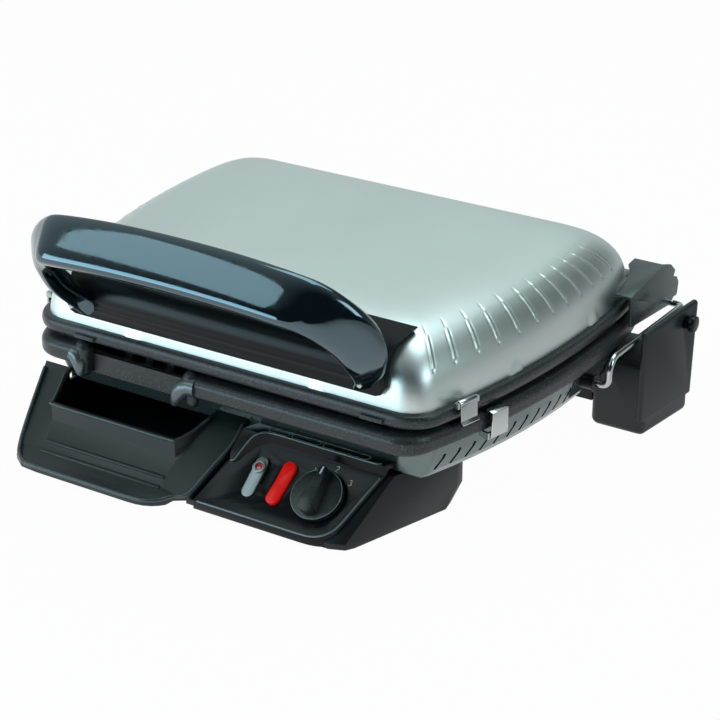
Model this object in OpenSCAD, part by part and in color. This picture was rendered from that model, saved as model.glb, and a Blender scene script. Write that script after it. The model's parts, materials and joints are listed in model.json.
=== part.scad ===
// Electric indoor grill with a hinged lid, a drip tray and a floating rear hinge.
// Millimetres, +Z up, front of the grill towards -Y, standing on Z = 0.
// The outlines are drawn with y = 0 at the lid's front face and moved to the middle at the end.

/* [Lid] */
// Height of the lid's bottom edge above the table
lid_z = 82; // [80:0.5:90]
// Rise of the lid from its bottom edge to its crown
lid_rise = 41; // [36:1:50]
// Half of the lid's straight front edge
lid_front = 113; // [108:1:118]
// Half of the lid's greatest width
lid_side = 153; // [148:1:155]
// Depth of the lid from front to rear
lid_depth = 231; // [222:1:240]
// Thickness of the lid's pressed sheet
lid_sheet = 1.2; // [0.8:0.1:2]

/* [Plates] */
// How far the lower rim stands out past the lid's side
rim_out = 7; // [5.5:0.5:13]
// Distance of the lower rim's front face before the lid's
rim_front = 8; // [6:1:10]
// Height of the rims of the cooking plates
rim_h = 11.5; // [10:0.5:13]
// Gap between the two closed rims
rim_gap = 3.4; // [2.5:0.1:6]
// Thickness of the cast plates
cast_wall = 3; // [2.5:0.25:4]
// Distance between two cooking ribs
rib_pitch = 15; // [12:1:20]
// Width of a cooking rib
rib_w = 5; // [3:0.5:7]
// Height of a cooking rib
rib_h = 3; // [2:0.5:3.5]

/* [Lower bowl] */
// Height of the bowl's bottom above the table
bowl_z = 37; // [36:0.5:40]
// Thickness of the bowl's sheet
bowl_sheet = 1.5; // [1:0.1:2]
// Number of cooling slits on each side
slit_count = 11; // [5:1:12]
// Width of a cooling slit
slit_w = 2; // [1:0.25:3]

/* [Control panel] */
// Slope of the panel
panel_tilt = 38; // [36:0.5:40]
// Thickness of the panel
panel_wall = 3; // [2:0.25:3.5]
// Diameter of the thermostat knob
knob_d = 31; // [24:1:33]
// Diameter of the thermostat shaft
shaft_d = 6; // [5:0.5:8]
// Length of the illuminated rocker
rocker_l = 27; // [20:1:30]
// Width of the illuminated rocker
rocker_w = 8; // [6:0.5:9]

/* [Drip tray] */
// Thickness of the tray's walls
tray_wall = 2.2; // [1.5:0.1:3]
// Depth of the tray's basin under the bowl
tray_reach = 60; // [50:1:66]

/* [Rear hinge] */
// Diameter of the bail's wire
wire_d = 4; // [3.5:0.25:4.5]
// Distance of the bail's side wires outside the lower rim
wire_out = 9.75; // [8:0.25:11]
// Distance of the hinge bar behind the lid's rear edge
hinge_back = 19; // [18:0.5:22]
// Thickness of each lid arm
arm_w = 8; // [5:0.5:9]

/* [Legs and feet] */
// Height of the rubber feet
foot_h = 2; // [1.5:0.25:4]
// Wall of the hollow rear legs
leg_wall = 3; // [2:0.25:4]

/* [Hidden] */

$fn = 48;
e = 0.01;                            // overreach of a cut
gap = 0.3;                           // space between neighbouring pieces
running = 0.05;                      // radial clearance of a turning fit
far = 400;                           // longer than anything that it cuts

// Reach of the whole object, which puts the origin in the middle of its depth
hinge_y = lid_depth + hinge_back;
widest_y = lid_depth - 71;            // where the lid and the rims are widest
rim_side = lid_side + rim_out;
wire_x = rim_side + wire_out;
front_reach = -57.5;
rear_reach = hinge_y + 12.5;
origin_y = (front_reach + rear_reach) / 2;

// Heights of the stack of plates
upper_top = lid_z - gap;
upper_bottom = lid_z - 8;
lower_top = upper_bottom - rim_gap;
lower_bottom = lower_top - rim_h;
floor_top = lower_top - 8.5;
floor_bottom = floor_top - cast_wall;

// ---------------------------------------------------------------- outlines

function bez(a, b, c, d, n, first = 1) = [for (i = [first:n])
  let (t = i / n, u = 1 - t) u ^ 3 * a + 3 * u ^ 2 * t * b + 3 * u * t ^ 2 * c + t ^ 3 * d];

// Right half of an outline: straight front, rounded corner, bowed side, rounded rear corner
function half_outline(fw, fy, cx, cy, sw, sy, rw, ry) = concat(
  [[0, fy]],
  bez([fw, fy], [fw + (cx - fw) * 0.53, fy], [cx - (cx - fw) * 0.15, fy + (cy - fy) * 0.35], [cx, cy], 5, 0),
  bez([cx, cy], [cx + (sw - cx) * 0.3, cy + (sy - cy) * 0.15], [sw, cy + (sy - cy) * 0.52], [sw, sy], 9),
  bez([sw, sy], [sw, sy + (ry - sy) * 0.8], [sw - (sw - rw) * 0.19, ry], [rw, ry], 9),
  [[0, ry]]);

function both_halves(h) = concat(h, [for (i = [len(h) - 2:-1:1]) [-h[i][0], h[i][1]]]);

// Moves each point of an outline along its own normal
function grow(p, o) = let (n = len(p)) [for (i = [0:n - 1])
  let (a = p[(i + n - 1) % n], b = p[(i + 1) % n], t = (b - a) / norm(b - a))
  p[i] + o * [t[1], -t[0]]];

function shrink(p, s, cy) = [for (q = p) [q[0] * s, cy + (q[1] - cy) * s]];
function behind(p, y0) = [for (q = p) [q[0], max(q[1], y0)]];
function at_z(p, z) = [for (q = p) [q[0], q[1], z]];

lid_line = both_halves(half_outline(lid_front, 0, lid_front + 18.7, 13, lid_side, widest_y, lid_side - 29, lid_depth));
rim_line = both_halves(half_outline(lid_front, -rim_front, lid_front + 21, 8, rim_side, widest_y, rim_side - 36,
  lid_depth + 3));

function lid_pts(o) = grow(lid_line, o);
function rim_pts(o) = grow(rim_line, o);

// Place on the right side of an outline at a given depth, with the turn of the outline there
function side_at(line, y) =
  let (
    i = [for (k = [0:len(line) - 2]) if (line[k][0] > 0 && line[k][1] <= y && line[k + 1][1] > y) k][0],
    way = line[i + 1] - line[i],
    p = line[i] + way * (y - line[i][1]) / way[1])
  [p[0], p[1], atan2(way[0], way[1])];

// Lid outline drawn smaller by d on every side
function inset_pts(d) = [for (q = lid_line)
  [q[0] * (1 - d / lid_side), lid_depth / 2 + (q[1] - lid_depth / 2) * (1 - 2 * d / lid_depth)]];

module slab(pts, z0, z1) translate([0, 0, z0]) linear_extrude(z1 - z0) polygon(pts);

function middle(ring) = [for (p = ring) 1] * ring / len(ring);

// Solid through a list of rings, closed at each end by a fan about the ring's middle
module loft(rings) {
  n = len(rings[0]);
  m = len(rings);
  last = (m - 1) * n;
  polyhedron(
    points = concat([for (r = rings) each r], [middle(rings[0]), middle(rings[m - 1])]),
    faces = concat(
      [for (i = [0:n - 1]) [i, (i + 1) % n, n * m]],
      [for (k = [0:m - 2]) for (i = [0:n - 1]) each [
        [k * n + i, (k + 1) * n + i, (k + 1) * n + (i + 1) % n],
        [k * n + i, (k + 1) * n + (i + 1) % n, k * n + (i + 1) % n]]],
      [for (i = [0:n - 1]) [last + (i + 1) % n, last + i, n * m + 1]]));
}

// Ring that follows an outline, with its section given as points of offset and height
module ring_loft(pts, section) {
  n = len(pts);
  m = len(section);
  polyhedron(
    points = [for (s = section) each at_z(grow(pts, s[0]), s[1])],
    faces = [for (k = [0:m - 1]) for (i = [0:n - 1]) each [
      [k * n + i, ((k + 1) % m) * n + i, ((k + 1) % m) * n + (i + 1) % n],
      [k * n + i, ((k + 1) % m) * n + (i + 1) % n, k * n + (i + 1) % n]]]);
}

// Sheet drawn in the YZ plane and pushed along X
module along_x(pts, x0, x1) translate([x0, 0, 0]) rotate([90, 0, 90]) linear_extrude(x1 - x0) polygon(pts);

module rod_x(r, x0, x1) translate([x0, 0, 0]) rotate([0, 90, 0]) cylinder(r = r, h = x1 - x0);

module both_sides() {
  children();
  mirror([1, 0, 0]) children();
}

module home() translate([0, -origin_y, 0]) children();

// ---------------------------------------------------------------- front unit

panel_y = -29.6;                     // lower edge of the panel
panel_z = 7.8;
panel_run = 36.6;                    // depth of the slope, measured flat
panel_rise = panel_run * tan(panel_tilt);
ledge_z = panel_z + panel_rise + 6;
ledge_back = 14;
wall_rise = panel_wall / cos(panel_tilt);
panel_left = -1;
panel_right = 91.5;
flare = 0.39;                        // sideways run of the panel's ends per millimetre of depth

module on_panel(x, s) translate([x, panel_y, panel_z]) rotate([panel_tilt, 0, 0]) translate([0, s, 0]) children();

// Places on the panel: sideways, and up the slope from its lower edge
knob_at = [71.5, 24];
rocker_at = [46.8, 24.6];
light_at = [29.2, 24];
lens_up = 6.5;

box_left = -8;
box_bottom = foot_h;
box_top = bowl_z - 1.5;

box_rear = 68;

module box_shape(in) hull() {
  slab([[box_left + in, -26.5 + in], [88 - in, -26.5 + in], [97 - in, -23 + in], [100 - in, -18 + in],
    [120.5 - in, 46], [119 - in, 54 - in], [112 - in, 58 - in], [box_left + in, 58 - in]], box_bottom, box_bottom + 3.5);
  for (z = [box_bottom + 12, box_top - 1 - in]) slab([[box_left + in, 10.8 + in], [107.5 - in, 10.8 + in],
    [123 - in, 54 - in], [122.5 - in, 61 - in], [118 - in, 66 - in], [111 - in, box_rear - in], [box_left + in, box_rear - in]], z, z + 1);
}

bay_left = -130;
bay_rear = tray_reach + 12;

module base_housing() home() color("#23282b") {
  difference() {
    union() {
      box_shape(0);
      // floor, side and rear of the bay that the tray runs in
      translate([bay_left, -6, box_bottom]) cube([box_left - bay_left + 1, bay_rear + 6, 2]);
      translate([bay_left, 24, box_bottom]) cube([2.5, bay_rear - 24, box_top - box_bottom]);
      translate([bay_left, bay_rear - 2.5, box_bottom]) cube([box_left - bay_left + 1, 2.5, box_top - box_bottom]);
    }
    difference() {
      box_shape(3);
      // bosses for the cover's screws
      for (p = screw_places) translate([p[0], p[1], 0]) cylinder(r = 4, h = far);
    }
    // open bottom of the control box
    intersection() {
      box_shape(3);
      translate([0, 0, box_bottom - 1]) cube([far, far, 8], center = true);
    }
    slab([[box_left + 3, -23], [88, -23], [94, -20], [97, -16], [119, 44], [116, 51], [box_left + 3, 51]], 0, box_bottom + 3.6);
    for (p = screw_places) translate([p[0], p[1], 0]) cylinder(r = 1.25, h = 16);
    // ways through for the shaft, the switch and the lamp
    on_panel(knob_at[0], knob_at[1]) translate([0, 0, -20]) cylinder(r = shaft_d / 2 + 2.5, h = 30);
    on_panel(rocker_at[0], rocker_at[1]) translate([-6, -14, -22]) cube([12, 28, 30]);
    on_panel(light_at[0], light_at[1] + lens_up) translate([0, 0, -20]) cylinder(r = 4.5, h = 30);
  }
}

screw_places = [[4, 40], [96, 42], [30, -17]];

module base_cover() home() color("#2b2f31") {
  difference() {
    slab([[box_left + 3 + gap, -23 + gap], [88, -23 + gap], [93.6, -20 + gap], [96.6, -15.8], [118.6, 44],
      [115.7, 51 - gap], [box_left + 3 + gap, 51 - gap]], box_bottom, box_bottom + 2.2);
    for (p = screw_places) translate([p[0], p[1], 0]) cylinder(r = 1.8, h = 10);
    for (x = [20:8:84]) translate([x, 5, 0]) cube([3, 20, 10]);
  }
}

module base_screws() home() color("silver") for (p = screw_places) translate([p[0], p[1], box_bottom - 1]) {
  cylinder(r = 3, h = 1);
  cylinder(r = 1.2, h = 12);
}

front_foot_places = [[-118, 6], [-118, 62], [90, -8], [108, 40]];

module front_feet() home() color("#151515")
  for (p = front_foot_places) translate([p[0], p[1], 0]) cylinder(r = 5, h = foot_h);

module panel_plan(in) linear_extrude(far) polygon(concat(
  [[panel_left + in, panel_y - 1], [72, panel_y - 1]],
  bez([72, panel_y - e], [84, panel_y], [panel_right - 4 - in, panel_y + 4], [panel_right - in, panel_y + 9], 6, 0),
  [[panel_right + flare * 38 - in, ledge_back + 1], [panel_left + flare * 44 + in, ledge_back + 1]]));

panel_section = [[panel_y, foot_h + 0.5], [panel_y, panel_z],
  [panel_y + panel_run, panel_z + panel_rise], [panel_y + panel_run, ledge_z],
  [ledge_back, ledge_z], [ledge_back, ledge_z - panel_wall],
  [panel_y + panel_run + panel_wall, ledge_z - panel_wall],
  [panel_y + panel_run + panel_wall, panel_z + panel_rise + panel_wall * tan(panel_tilt) - wall_rise],
  [panel_y + panel_wall, panel_z + panel_wall * tan(panel_tilt) - wall_rise], [panel_y + panel_wall, foot_h + 0.5]];

module obround(w, l, h) linear_extrude(h) {
  square([w, l - w], center = true);
  for (s = [-1, 1]) translate([0, s * (l - w) / 2]) circle(d = w);
}

lens_seat = 3;

module control_panel() home() color("#15191b") difference() {
  union() {
    intersection() {
      panel_plan(0);
      along_x(panel_section, -far, far);
    }
    // raised shoulder that sweeps down along the left end
    intersection() {
      linear_extrude(far) polygon([[9.8, -7], [12.5, -6.5], [15.5, -2.6], [19.5, 1.6], [24, 4.8], [30, 7.1], [30, ledge_back],
        [panel_left + flare * 42, ledge_back], [panel_left + flare * 24, -5]]);
      along_x([[-8, 20.6], [-8, 25.3], [3.4, ledge_z], [ledge_back, ledge_z], [ledge_back, box_top + 1], [10.4, box_top + gap]], 0, 60);
    }
  }
  on_panel(knob_at[0], knob_at[1]) {
    translate([0, 0, -10]) cylinder(r = shaft_d / 2 + 1, h = 20);
    translate([0, 0, -0.6]) cylinder(r = knob_d / 2 + 0.8, h = 20);
  }
  on_panel(rocker_at[0], rocker_at[1]) rotate([0, 0, -4]) {
    translate([0, 0, -10]) obround(rocker_w + 0.8, rocker_l + 0.8, 20);
    translate([0, 0, rocker_pin_z]) rod_x(rocker_pin_r + running, -rocker_w / 2 - 1.8, rocker_w / 2 + 1.8);
  }
  on_panel(light_at[0], light_at[1]) {
    translate([0, 0, -1.2]) obround(8.4, 26.4, 20);
    translate([3, 4.5, -1.2]) obround(8.4, 17, 20);
    translate([0, lens_up, -10]) cylinder(r = lens_seat + gap, h = 20);
  }
}

module thermostat_body() home() color("#d8d2c4") on_panel(knob_at[0], knob_at[1]) difference() {
  union() {
    translate([-10, -10, -14.5]) cube([20, 20, 6.9]);
    translate([0, 0, -7.7]) cylinder(r = shaft_d / 2 + 2, h = 3.5);
  }
  translate([0, 0, -12]) cylinder(r = shaft_d / 2 + running, h = 20);
}

module thermostat_shaft() home() color("silver") on_panel(knob_at[0], knob_at[1])
  translate([0, 0, -11.7]) cylinder(r = shaft_d / 2, h = 14);

module thermostat_knob() home() color("#1a1e20") on_panel(knob_at[0], knob_at[1]) difference() {
  union() {
    translate([0, 0, -0.3]) cylinder(r = knob_d / 2, h = 3.3);
    // grip fin that tapers to its pointer
    hull() {
      translate([0, -knob_d / 2 + 6.5, 0]) cylinder(r = 4.6, h = 11);
      translate([0, knob_d / 2 - 2.5, 0]) cylinder(r = 2.4, h = 9);
    }
  }
  translate([0, 0, -1]) cylinder(r = shaft_d / 2 + running, h = 3.6);
  translate([-0.6, knob_d / 2 - 6, 8.5]) cube([1.2, 5, 4]);
}

module knob_marker() home() color("white") on_panel(knob_at[0], knob_at[1])
  translate([-0.5, knob_d / 2 - 5.9, 8.6]) cube([1, 4.8, 0.7]);

module switch_body() home() color("#202020") on_panel(rocker_at[0], rocker_at[1])
  translate([-5, -12, -13.5]) difference() {
    cube([10, 24, 8.5]);
    translate([1, 1, 2]) cube([8, 22, 12]);
  }

rocker_pin_r = 0.8;
rocker_pin_z = -1.6;

// The rocker turns on two stubs across its middle
module rocker_switch() home() color("#e01a00") on_panel(rocker_at[0], rocker_at[1]) rotate([0, 0, -4]) {
  intersection() {
    translate([0, 0, -3.4]) obround(rocker_w, rocker_l, 6);
    along_x([[-rocker_l, -4], [-rocker_l, 3], [0, 0.8], [rocker_l, 3], [rocker_l, -4]], -rocker_w, rocker_w);
  }
  translate([-3, -5, -8]) cube([6, 10, 5]);
  translate([0, 0, rocker_pin_z]) rod_x(rocker_pin_r, -rocker_w / 2 - 1.5, rocker_w / 2 + 1.5);
}

module indicator_plate() home() color("#aeb6b8") on_panel(light_at[0], light_at[1]) difference() {
  union() {
    translate([0, 0, -1.1]) obround(7.6, 25.6, 1.7);
    translate([0, lens_up - 0.5, 0]) cylinder(r = 3.8, h = 1.8);
  }
  translate([0, lens_up, -5]) cylinder(r = lens_seat - 0.7, h = 20);
}

module indicator_lens() home() color("#ff3010") on_panel(light_at[0], light_at[1] + lens_up) {
  translate([0, 0, -3.4]) cylinder(r = lens_seat - 0.1, h = 2);
  translate([0, 0, -1.5]) cylinder(r = lens_seat - 0.75, h = 2.5);
}

module indicator_lamp() home() color("orange") on_panel(light_at[0], light_at[1] + lens_up)
  translate([0, 0, -13.5]) cylinder(r = 2.2, h = 10);

module terminal_block() home() color("#e8e4d8") translate([14, 34, box_bottom + 2.5]) difference() {
  cube([40, 14, 10]);
  for (i = [0:2]) translate([7 + i * 13, 7, 4]) cylinder(r = 2.5, h = 10);
}

module thermal_fuse() home() color("#c9a24a") translate([62, 40, box_bottom + 6.2]) rod_x(4, 0, 22);

// ---------------------------------------------------------------- drip tray

bowl_front = 15;                     // flat front of the bowl, behind the panel and the tray

tray_gap = 2;                        // gap between the tray's flange and the panel
tray_back = bowl_front - 2 * gap;
tray_floor = box_bottom + 2 + gap;

function slope_z(y) = panel_z + (y - panel_y) * tan(panel_tilt);

flange_plan = concat(
  [[-103, -44.5]],
  bez([-36, -44.5], [-24, -44.5], [-17, -40], [-11 - tray_gap, -32], 6, 0),
  [[panel_left - tray_gap - 1, panel_y + 1], [panel_left - tray_gap - 1 + flare * 30, panel_y + 31],
    [panel_left - tray_gap - 1 + flare * 30, tray_back], [-141, tray_back]],
  bez([-133.1, -17.4], [-130, -25], [-128, -31], [-124, -37], 5, 0),
  [[-115, -43.5]]);

flange_section = [[-46, 3], [-46, 5.4], [-36, 6], [panel_y, panel_z], [tray_back + 1, slope_z(tray_back + 1)],
  [tray_back + 1, slope_z(tray_back + 1) - tray_wall * 1.3], [-28, slope_z(-28) - tray_wall * 1.3], [-36, 3.2]];

basin_plan = [[-115.5, -13], [-25, -13], [-13, 12], [-13, tray_reach], [-124, tray_reach], [-124, 12]];
basin_high = 12.5;                   // where the basin passes under the bowl
basin_section = [[-14, tray_floor], [-14, 31], [-3, 33.5], [basin_high, slope_z(basin_high) + 1],
  [basin_high + 0.5, box_top - 1], [tray_reach + 1, box_top - 1], [tray_reach + 1, tray_floor]];

module drip_tray() home() color("#2c3337") difference() {
  union() {
    intersection() {
      linear_extrude(far) polygon(flange_plan);
      along_x(flange_section, -far, far);
    }
    intersection() {
      linear_extrude(far) polygon(basin_plan);
      along_x(basin_section, -far, far);
    }
    // two grip ridges across the apron
    for (y = [-28.6, -23.4]) translate([0, y, slope_z(y) - 0.6]) rotate([0, 90, 0]) translate([0, 0, -112]) cylinder(r = 1.3, h = 87);
  }
  intersection() {
    linear_extrude(far) polygon(grow(basin_plan, -tray_wall));
    translate([-far, -far, tray_floor + tray_wall]) cube(far * 2);
  }
}

// ---------------------------------------------------------------- lower half

// Lower rim's outline drawn smaller by d on every side, and cut off behind the control box
rim_mid = (lid_depth + 3 - rim_front) / 2;
rim_half = (lid_depth + 3 + rim_front) / 2;
bowl_wall = [[12, bowl_z], [9.5, bowl_z + 4], [7, bowl_z + 11], [5.5, lower_bottom - gap]];
function bowl_ring(d, z, in) = at_z([for (q = rim_line) [q[0] * (1 - (d + in) / rim_side),
  max(bowl_front + in, rim_mid + (q[1] - rim_mid) * (1 - (d + in) / rim_half))]], z);

pivot_y = hinge_y - 102;
pivot_z = 50;
wire_r = wire_d / 2;
bush_r = wire_r + 2.5;

module bowl_solid(more) loft([for (w = bowl_wall) bowl_ring(w[0] - more, w[1] - (w[1] > bowl_z ? 0 : more), 0)]);

module slits() for (i = [0:slit_count - 1]) translate([0, 22 + i * 11, bowl_z + 9]) rotate([-25, 0, 0])
  cube([far, slit_w, 10], center = true);

module lower_bowl() home() color("#101315") difference() {
  bowl_solid(0);
  loft([for (w = bowl_wall) bowl_ring(w[0], w[1] + (w[1] > bowl_z ? e : bowl_sheet), bowl_sheet)]);
  difference() {
    slits();
    cube([250, far * 2, far], center = true);
  }
  translate([0, pivot_y, pivot_z]) rod_x(bush_r + gap / 3, -far, far);
  // hole for the wiring from the control box
  translate([60, 32, bowl_z - 1]) cylinder(r = 8, h = 4);
}

element_r = 3.2;
element_z = floor_bottom - element_r - gap;
element_from = 40;
element_to = lid_depth - 38;
post_x = 70;                         // posts that carry the element, under its second run
post_y = element_from + (element_to - element_from) / 3;

module lower_reflector() home() color("#c8ccce") difference() {
  slab(behind(inset_pts(14), bowl_front + 4), bowl_z + 4, bowl_z + 5);
  translate([60, 32, bowl_z]) cylinder(r = 10, h = 20);
  for (x = [-post_x, post_x]) translate([x, post_y, bowl_z]) cylinder(r = 2.2, h = 20);
}

// Tubular element bent to and fro, with its ends turned towards the front
module element(z, y0, y1, half_w, r) {
  step = (y1 - y0) / 3;
  turn = step / 2;
  translate([0, 0, z]) {
    for (i = [0:3]) translate([0, y0 + i * step, 0]) rod_x(r, -half_w, half_w);
    for (i = [0, 2]) translate([half_w, y0 + (i + 0.5) * step, 0]) rotate([0, 0, -90]) rotate_extrude(angle = 180)
      translate([turn, 0]) circle(r);
    translate([-half_w, y0 + 1.5 * step, 0]) rotate([0, 0, 90]) rotate_extrude(angle = 180) translate([turn, 0]) circle(r);
  }
}

module lower_element() home() color("#5a5a58") {
  difference() {
    element(element_z, element_from, element_to, lid_side - 65, element_r);
    cube(e, center = true);
  }
  for (x = [-post_x, post_x]) translate([x, post_y, bowl_z + bowl_sheet]) cylinder(r = 2, h = element_z - bowl_z - bowl_sheet);
}

spout_left = -97;
spout_right = -19;
spout_top = floor_top + 3;            // brim that the fat runs over
horn_r = 5.5;

module cooking_ribs(z0, z1, in) intersection() {
  slab(inset_pts(in), z0, z1);
  for (i = [-9:9]) translate([i * rib_pitch - rib_w / 2, 0, z0 - 1]) cube([rib_w, lid_depth, z1 - z0 + 2]);
}

module horn(x) {
  translate([x, 0, lower_bottom - 5]) cylinder(r1 = horn_r - 1.5, r2 = horn_r, h = rim_h + 2);
  translate([x, 0, lower_bottom - 5]) sphere(r = horn_r - 1.5);
  translate([x, 0, lower_top - 3]) sphere(r = horn_r);
}

module lower_plate() home() color("#363c40") {
  difference() {
    union() {
      ring_loft(rim_line, [[-3, lower_bottom], [-0.6, lower_bottom + 1], [0, lower_bottom + 4], [0, lower_bottom + 7],
        [-1.4, lower_top - 1.8], [-4.5, lower_top], [-9, lower_top], [-9, lower_top - cast_wall],
        [-5, lower_top - cast_wall - 1], [-3.6, lower_bottom + 6], [-3.6, lower_bottom + 1.5]]);
      slab(rim_pts(-8.8), lower_top - cast_wall, lower_top);
      slab(lid_pts(1), floor_bottom, lower_top - 1);
    }
    slab(lid_pts(-3), floor_top, far);
    // spout opening through the front rim
    translate([spout_left, -30, floor_bottom - 10]) cube([spout_right - spout_left, 31, 40]);
    translate([spout_left, -30, floor_top]) cube([spout_right - spout_left, 40, 40]);
  }
  cooking_ribs(floor_top - 1, floor_top + rib_h, 12);
  // lip under the spout, and the rounded ends of the rim beside it
  along_x([[1, lower_bottom - 7], [0, spout_top], [3, spout_top], [12, floor_top], [12, floor_top - 1.5], [4, floor_top - 3],
    [1 + cast_wall, lower_bottom - 7]], spout_left, spout_right);
  for (x = [spout_left, spout_right]) translate([0, -2, 0]) horn(x);
}

// ---------------------------------------------------------------- rear support

bridge_y = hinge_y - 62;
bridge_depth = 34;
bridge_top = bowl_z - gap;
leg_in = rim_side - 18.6;
gland_r = 5;
gland_z = 26.5;

module rear_bridge() home() color("#202426") difference() {
  translate([-leg_in + gap, bridge_y, 16]) cube([2 * (leg_in - gap), bridge_depth, bridge_top - 16]);
  translate([-leg_in + 3, bridge_y + 3, 19]) cube([2 * (leg_in - 3), bridge_depth - 6, bridge_top - 22]);
  translate([70, bridge_y + bridge_depth - 5, gland_z]) rotate([-90, 0, 0]) cylinder(r = gland_r + gap, h = 10);
}

module cord_gland() home() color("#101010") translate([70, bridge_y + bridge_depth - 4.5, gland_z]) rotate([-90, 0, 0])
  difference() {
    union() {
      cylinder(r = gland_r, h = 8);
      cylinder(r = gland_r + 1.5, h = 1.2);
      translate([0, 0, 5]) cylinder(r = gland_r + 2, h = 3);
    }
    translate([0, 0, -1]) cylinder(r = 3.6, h = 20);
  }

module corner_balls(pts, r) hull() for (p = pts) translate(p) sphere(r = r, $fn = 16);

leg_top = 50;
leg_r = 5;
cheek_r = 2.2;
leg_front = hinge_y - 60.7;
leg_rear = hinge_y - 25;
leg_side = rim_side + 13;            // middle of the rounded front edge
leg_flare = 8.1;                     // how far the outer face leans out towards the rear

module leg_block(in) corner_balls([for (z = [foot_h + leg_r, leg_top - leg_r]) each [
  [leg_in + leg_r, leg_front, z], [leg_side, leg_front, z], [leg_side + leg_flare, leg_rear, z + (z < 20 ? 3 : 0)],
  [leg_in + leg_r, leg_rear - 3, z + (z < 20 ? 3 : 0)]]], leg_r - in);

// Upper part of the outer wall, which reaches past the bail to the pin
module leg_cheek() corner_balls([
  [leg_side + 1.9, leg_front - 4.5, 14], [leg_side + 11.9, leg_rear + 4, 18],
  [leg_side + 1.9, leg_front - 4.5, 69.3], [leg_side + 12.2, leg_rear + 6, 75.5]], cheek_r);

module rear_leg(side) home() color("#1d2224") mirror([side, 0, 0]) difference() {
  union() {
    leg_block(0);
    leg_cheek();
  }
  // hollow inside, and cut away under the bowl
  leg_block(leg_wall);
  bowl_solid(gap);
  translate([0, pin_y, pin_z]) rod_x(pin_r - 1.2 + gap / 3, leg_side, far);
}

pin_y = hinge_y - 29;
pin_z = 66.5;
pin_r = 5;
pin_face = rim_side + 27.8;          // back of the pin's head, on the leg's outer face

module leg_pins() home() color("#0c0e0f") both_sides() translate([0, pin_y, pin_z]) {
  rod_x(pin_r - 1.2, pin_face - 4.6, pin_face + 2);
  rod_x(pin_r, pin_face, pin_face + 3.7);
}

module rear_feet() home() color("#151515") both_sides() translate([leg_side - 10, hinge_y - 47, 0]) cylinder(r = 8, h = foot_h);

// ---------------------------------------------------------------- bail

wire_slope = 2.1;
bend_small = 4;
bend_large = 9;
knee_y = pivot_y + bend_large;
knee_z = 57.5;
side_run = (hinge_y - knee_y - bend_large * sin(wire_slope)) / cos(wire_slope);
hinge_z = knee_z + bend_large * cos(wire_slope) - side_run * sin(wire_slope);

module bail_bushes() home() color("#303030") both_sides() translate([0, pivot_y, pivot_z]) difference() {
  union() {
    rod_x(bush_r, rim_side - 13, rim_side + 1.3);
    rod_x(bush_r + 1, rim_side + 1.2, rim_side + 2.2);
  }
  rod_x(wire_r + running, rim_side - 30, rim_side + 10);
}

// Points of an arc about c, from the direction u towards the direction v
function arc(c, r, u, v, a0, a1, n) = [for (i = [0:n]) let (a = a0 + (a1 - a0) * i / n) c + r * (u * cos(a) + v * sin(a))];

// Carries a normal along a path without letting it twist
function carry(t, n, i = 0, out = []) = i == len(t) ? out :
  let (m = n - (n * t[i]) * t[i], k = m / norm(m)) carry(t, k, i + 1, concat(out, [k]));

function tube_rings(path, r, first, sides = 16) =
  let (
    last = len(path) - 1,
    t = [for (i = [0:last]) let (d = path[min(i + 1, last)] - path[max(i - 1, 0)]) d / norm(d)],
    n = carry(t, first))
  [for (i = [0:last]) [for (k = [0:sides - 1]) let (a = 360 * k / sides)
    path[i] + r * (n[i] * cos(a) + cross(t[i], n[i]) * sin(a))]];

lie = [0, cos(wire_slope), -sin(wire_slope)];   // direction of the sloping sides
rise_dir = [0, sin(wire_slope), cos(wire_slope)];
knee = [wire_x, knee_y, knee_z];
side_start = knee + bend_large * rise_dir;
bail_path = concat(
  [[wire_x - bend_small - 3.5, pivot_y, pivot_z]],
  arc([wire_x - bend_small, pivot_y, pivot_z + bend_small], bend_small, [1, 0, 0], [0, 0, 1], -90, 0, 5),
  arc(knee, bend_large, [0, 1, 0], [0, 0, 1], 180, 90 - wire_slope, 9),
  arc(side_start + (side_run - bend_small) * lie - [bend_small, 0, 0], bend_small, [1, 0, 0], lie, 0, 90, 5),
  [side_start + side_run * lie - [bend_small + 4, 0, 0]]);

module bail_wire() home() color("#dfe3e4") {
  both_sides() {
    translate([0, pivot_y, pivot_z]) rod_x(wire_r, rim_side - 15, wire_x - bend_small - 2);
    loft(tube_rings(bail_path, wire_r + 0.06, [0, 1, 0]));
  }
  translate([0, hinge_y, hinge_z]) rod_x(wire_r, -wire_x + bend_small + 2, wire_x - bend_small - 2);
}

arm_x = lid_side - 19;
hinge_bush_r = wire_r + 2;

// Steel sleeve on the bail's bar, which carries both arms of the lid
module hinge_bushes() home() color("#b8bcbd") translate([0, hinge_y, hinge_z]) difference() {
  rod_x(hinge_bush_r, -arm_x - arm_w - 2, arm_x + arm_w + 2);
  rod_x(wire_r + running, -far, far);
}

// ---------------------------------------------------------------- lid

// Distance from the outline and height above the bottom edge
lid_profile = [[0, 0], [0.8, 6], [2, 12], [3.8, 17.5], [6.5, 22.5], [10.5, 27.5], [15.5, 31.8], [21.5, 35.2]];
lid_crown = [[0.93, 37.9], [0.8, 39.7], [0.55, 40.6], [0.06, 41]];
rise = lid_rise / 41;
mid_y = lid_depth / 2;

function lid_rings(in) = concat(
  [for (p = lid_profile) at_z(inset_pts(p[0] + in), lid_z + (p[1] - (p[1] > 0 ? in : 0)) * rise)],
  [for (c = lid_crown) at_z(shrink(inset_pts(21.5 + in), c[0], mid_y), lid_z + c[1] * rise - in)]);

function backwards(a) = [for (i = [len(a) - 1:-1:0]) a[i]];

module lid_solid(in) loft(lid_rings(in));

module lid_shell() home() color("#c3cccb") difference() {
  loft(concat(backwards(lid_rings(lid_sheet)), lid_rings(0)));
  arm_notch(0, lid_z + 5);
}

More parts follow.
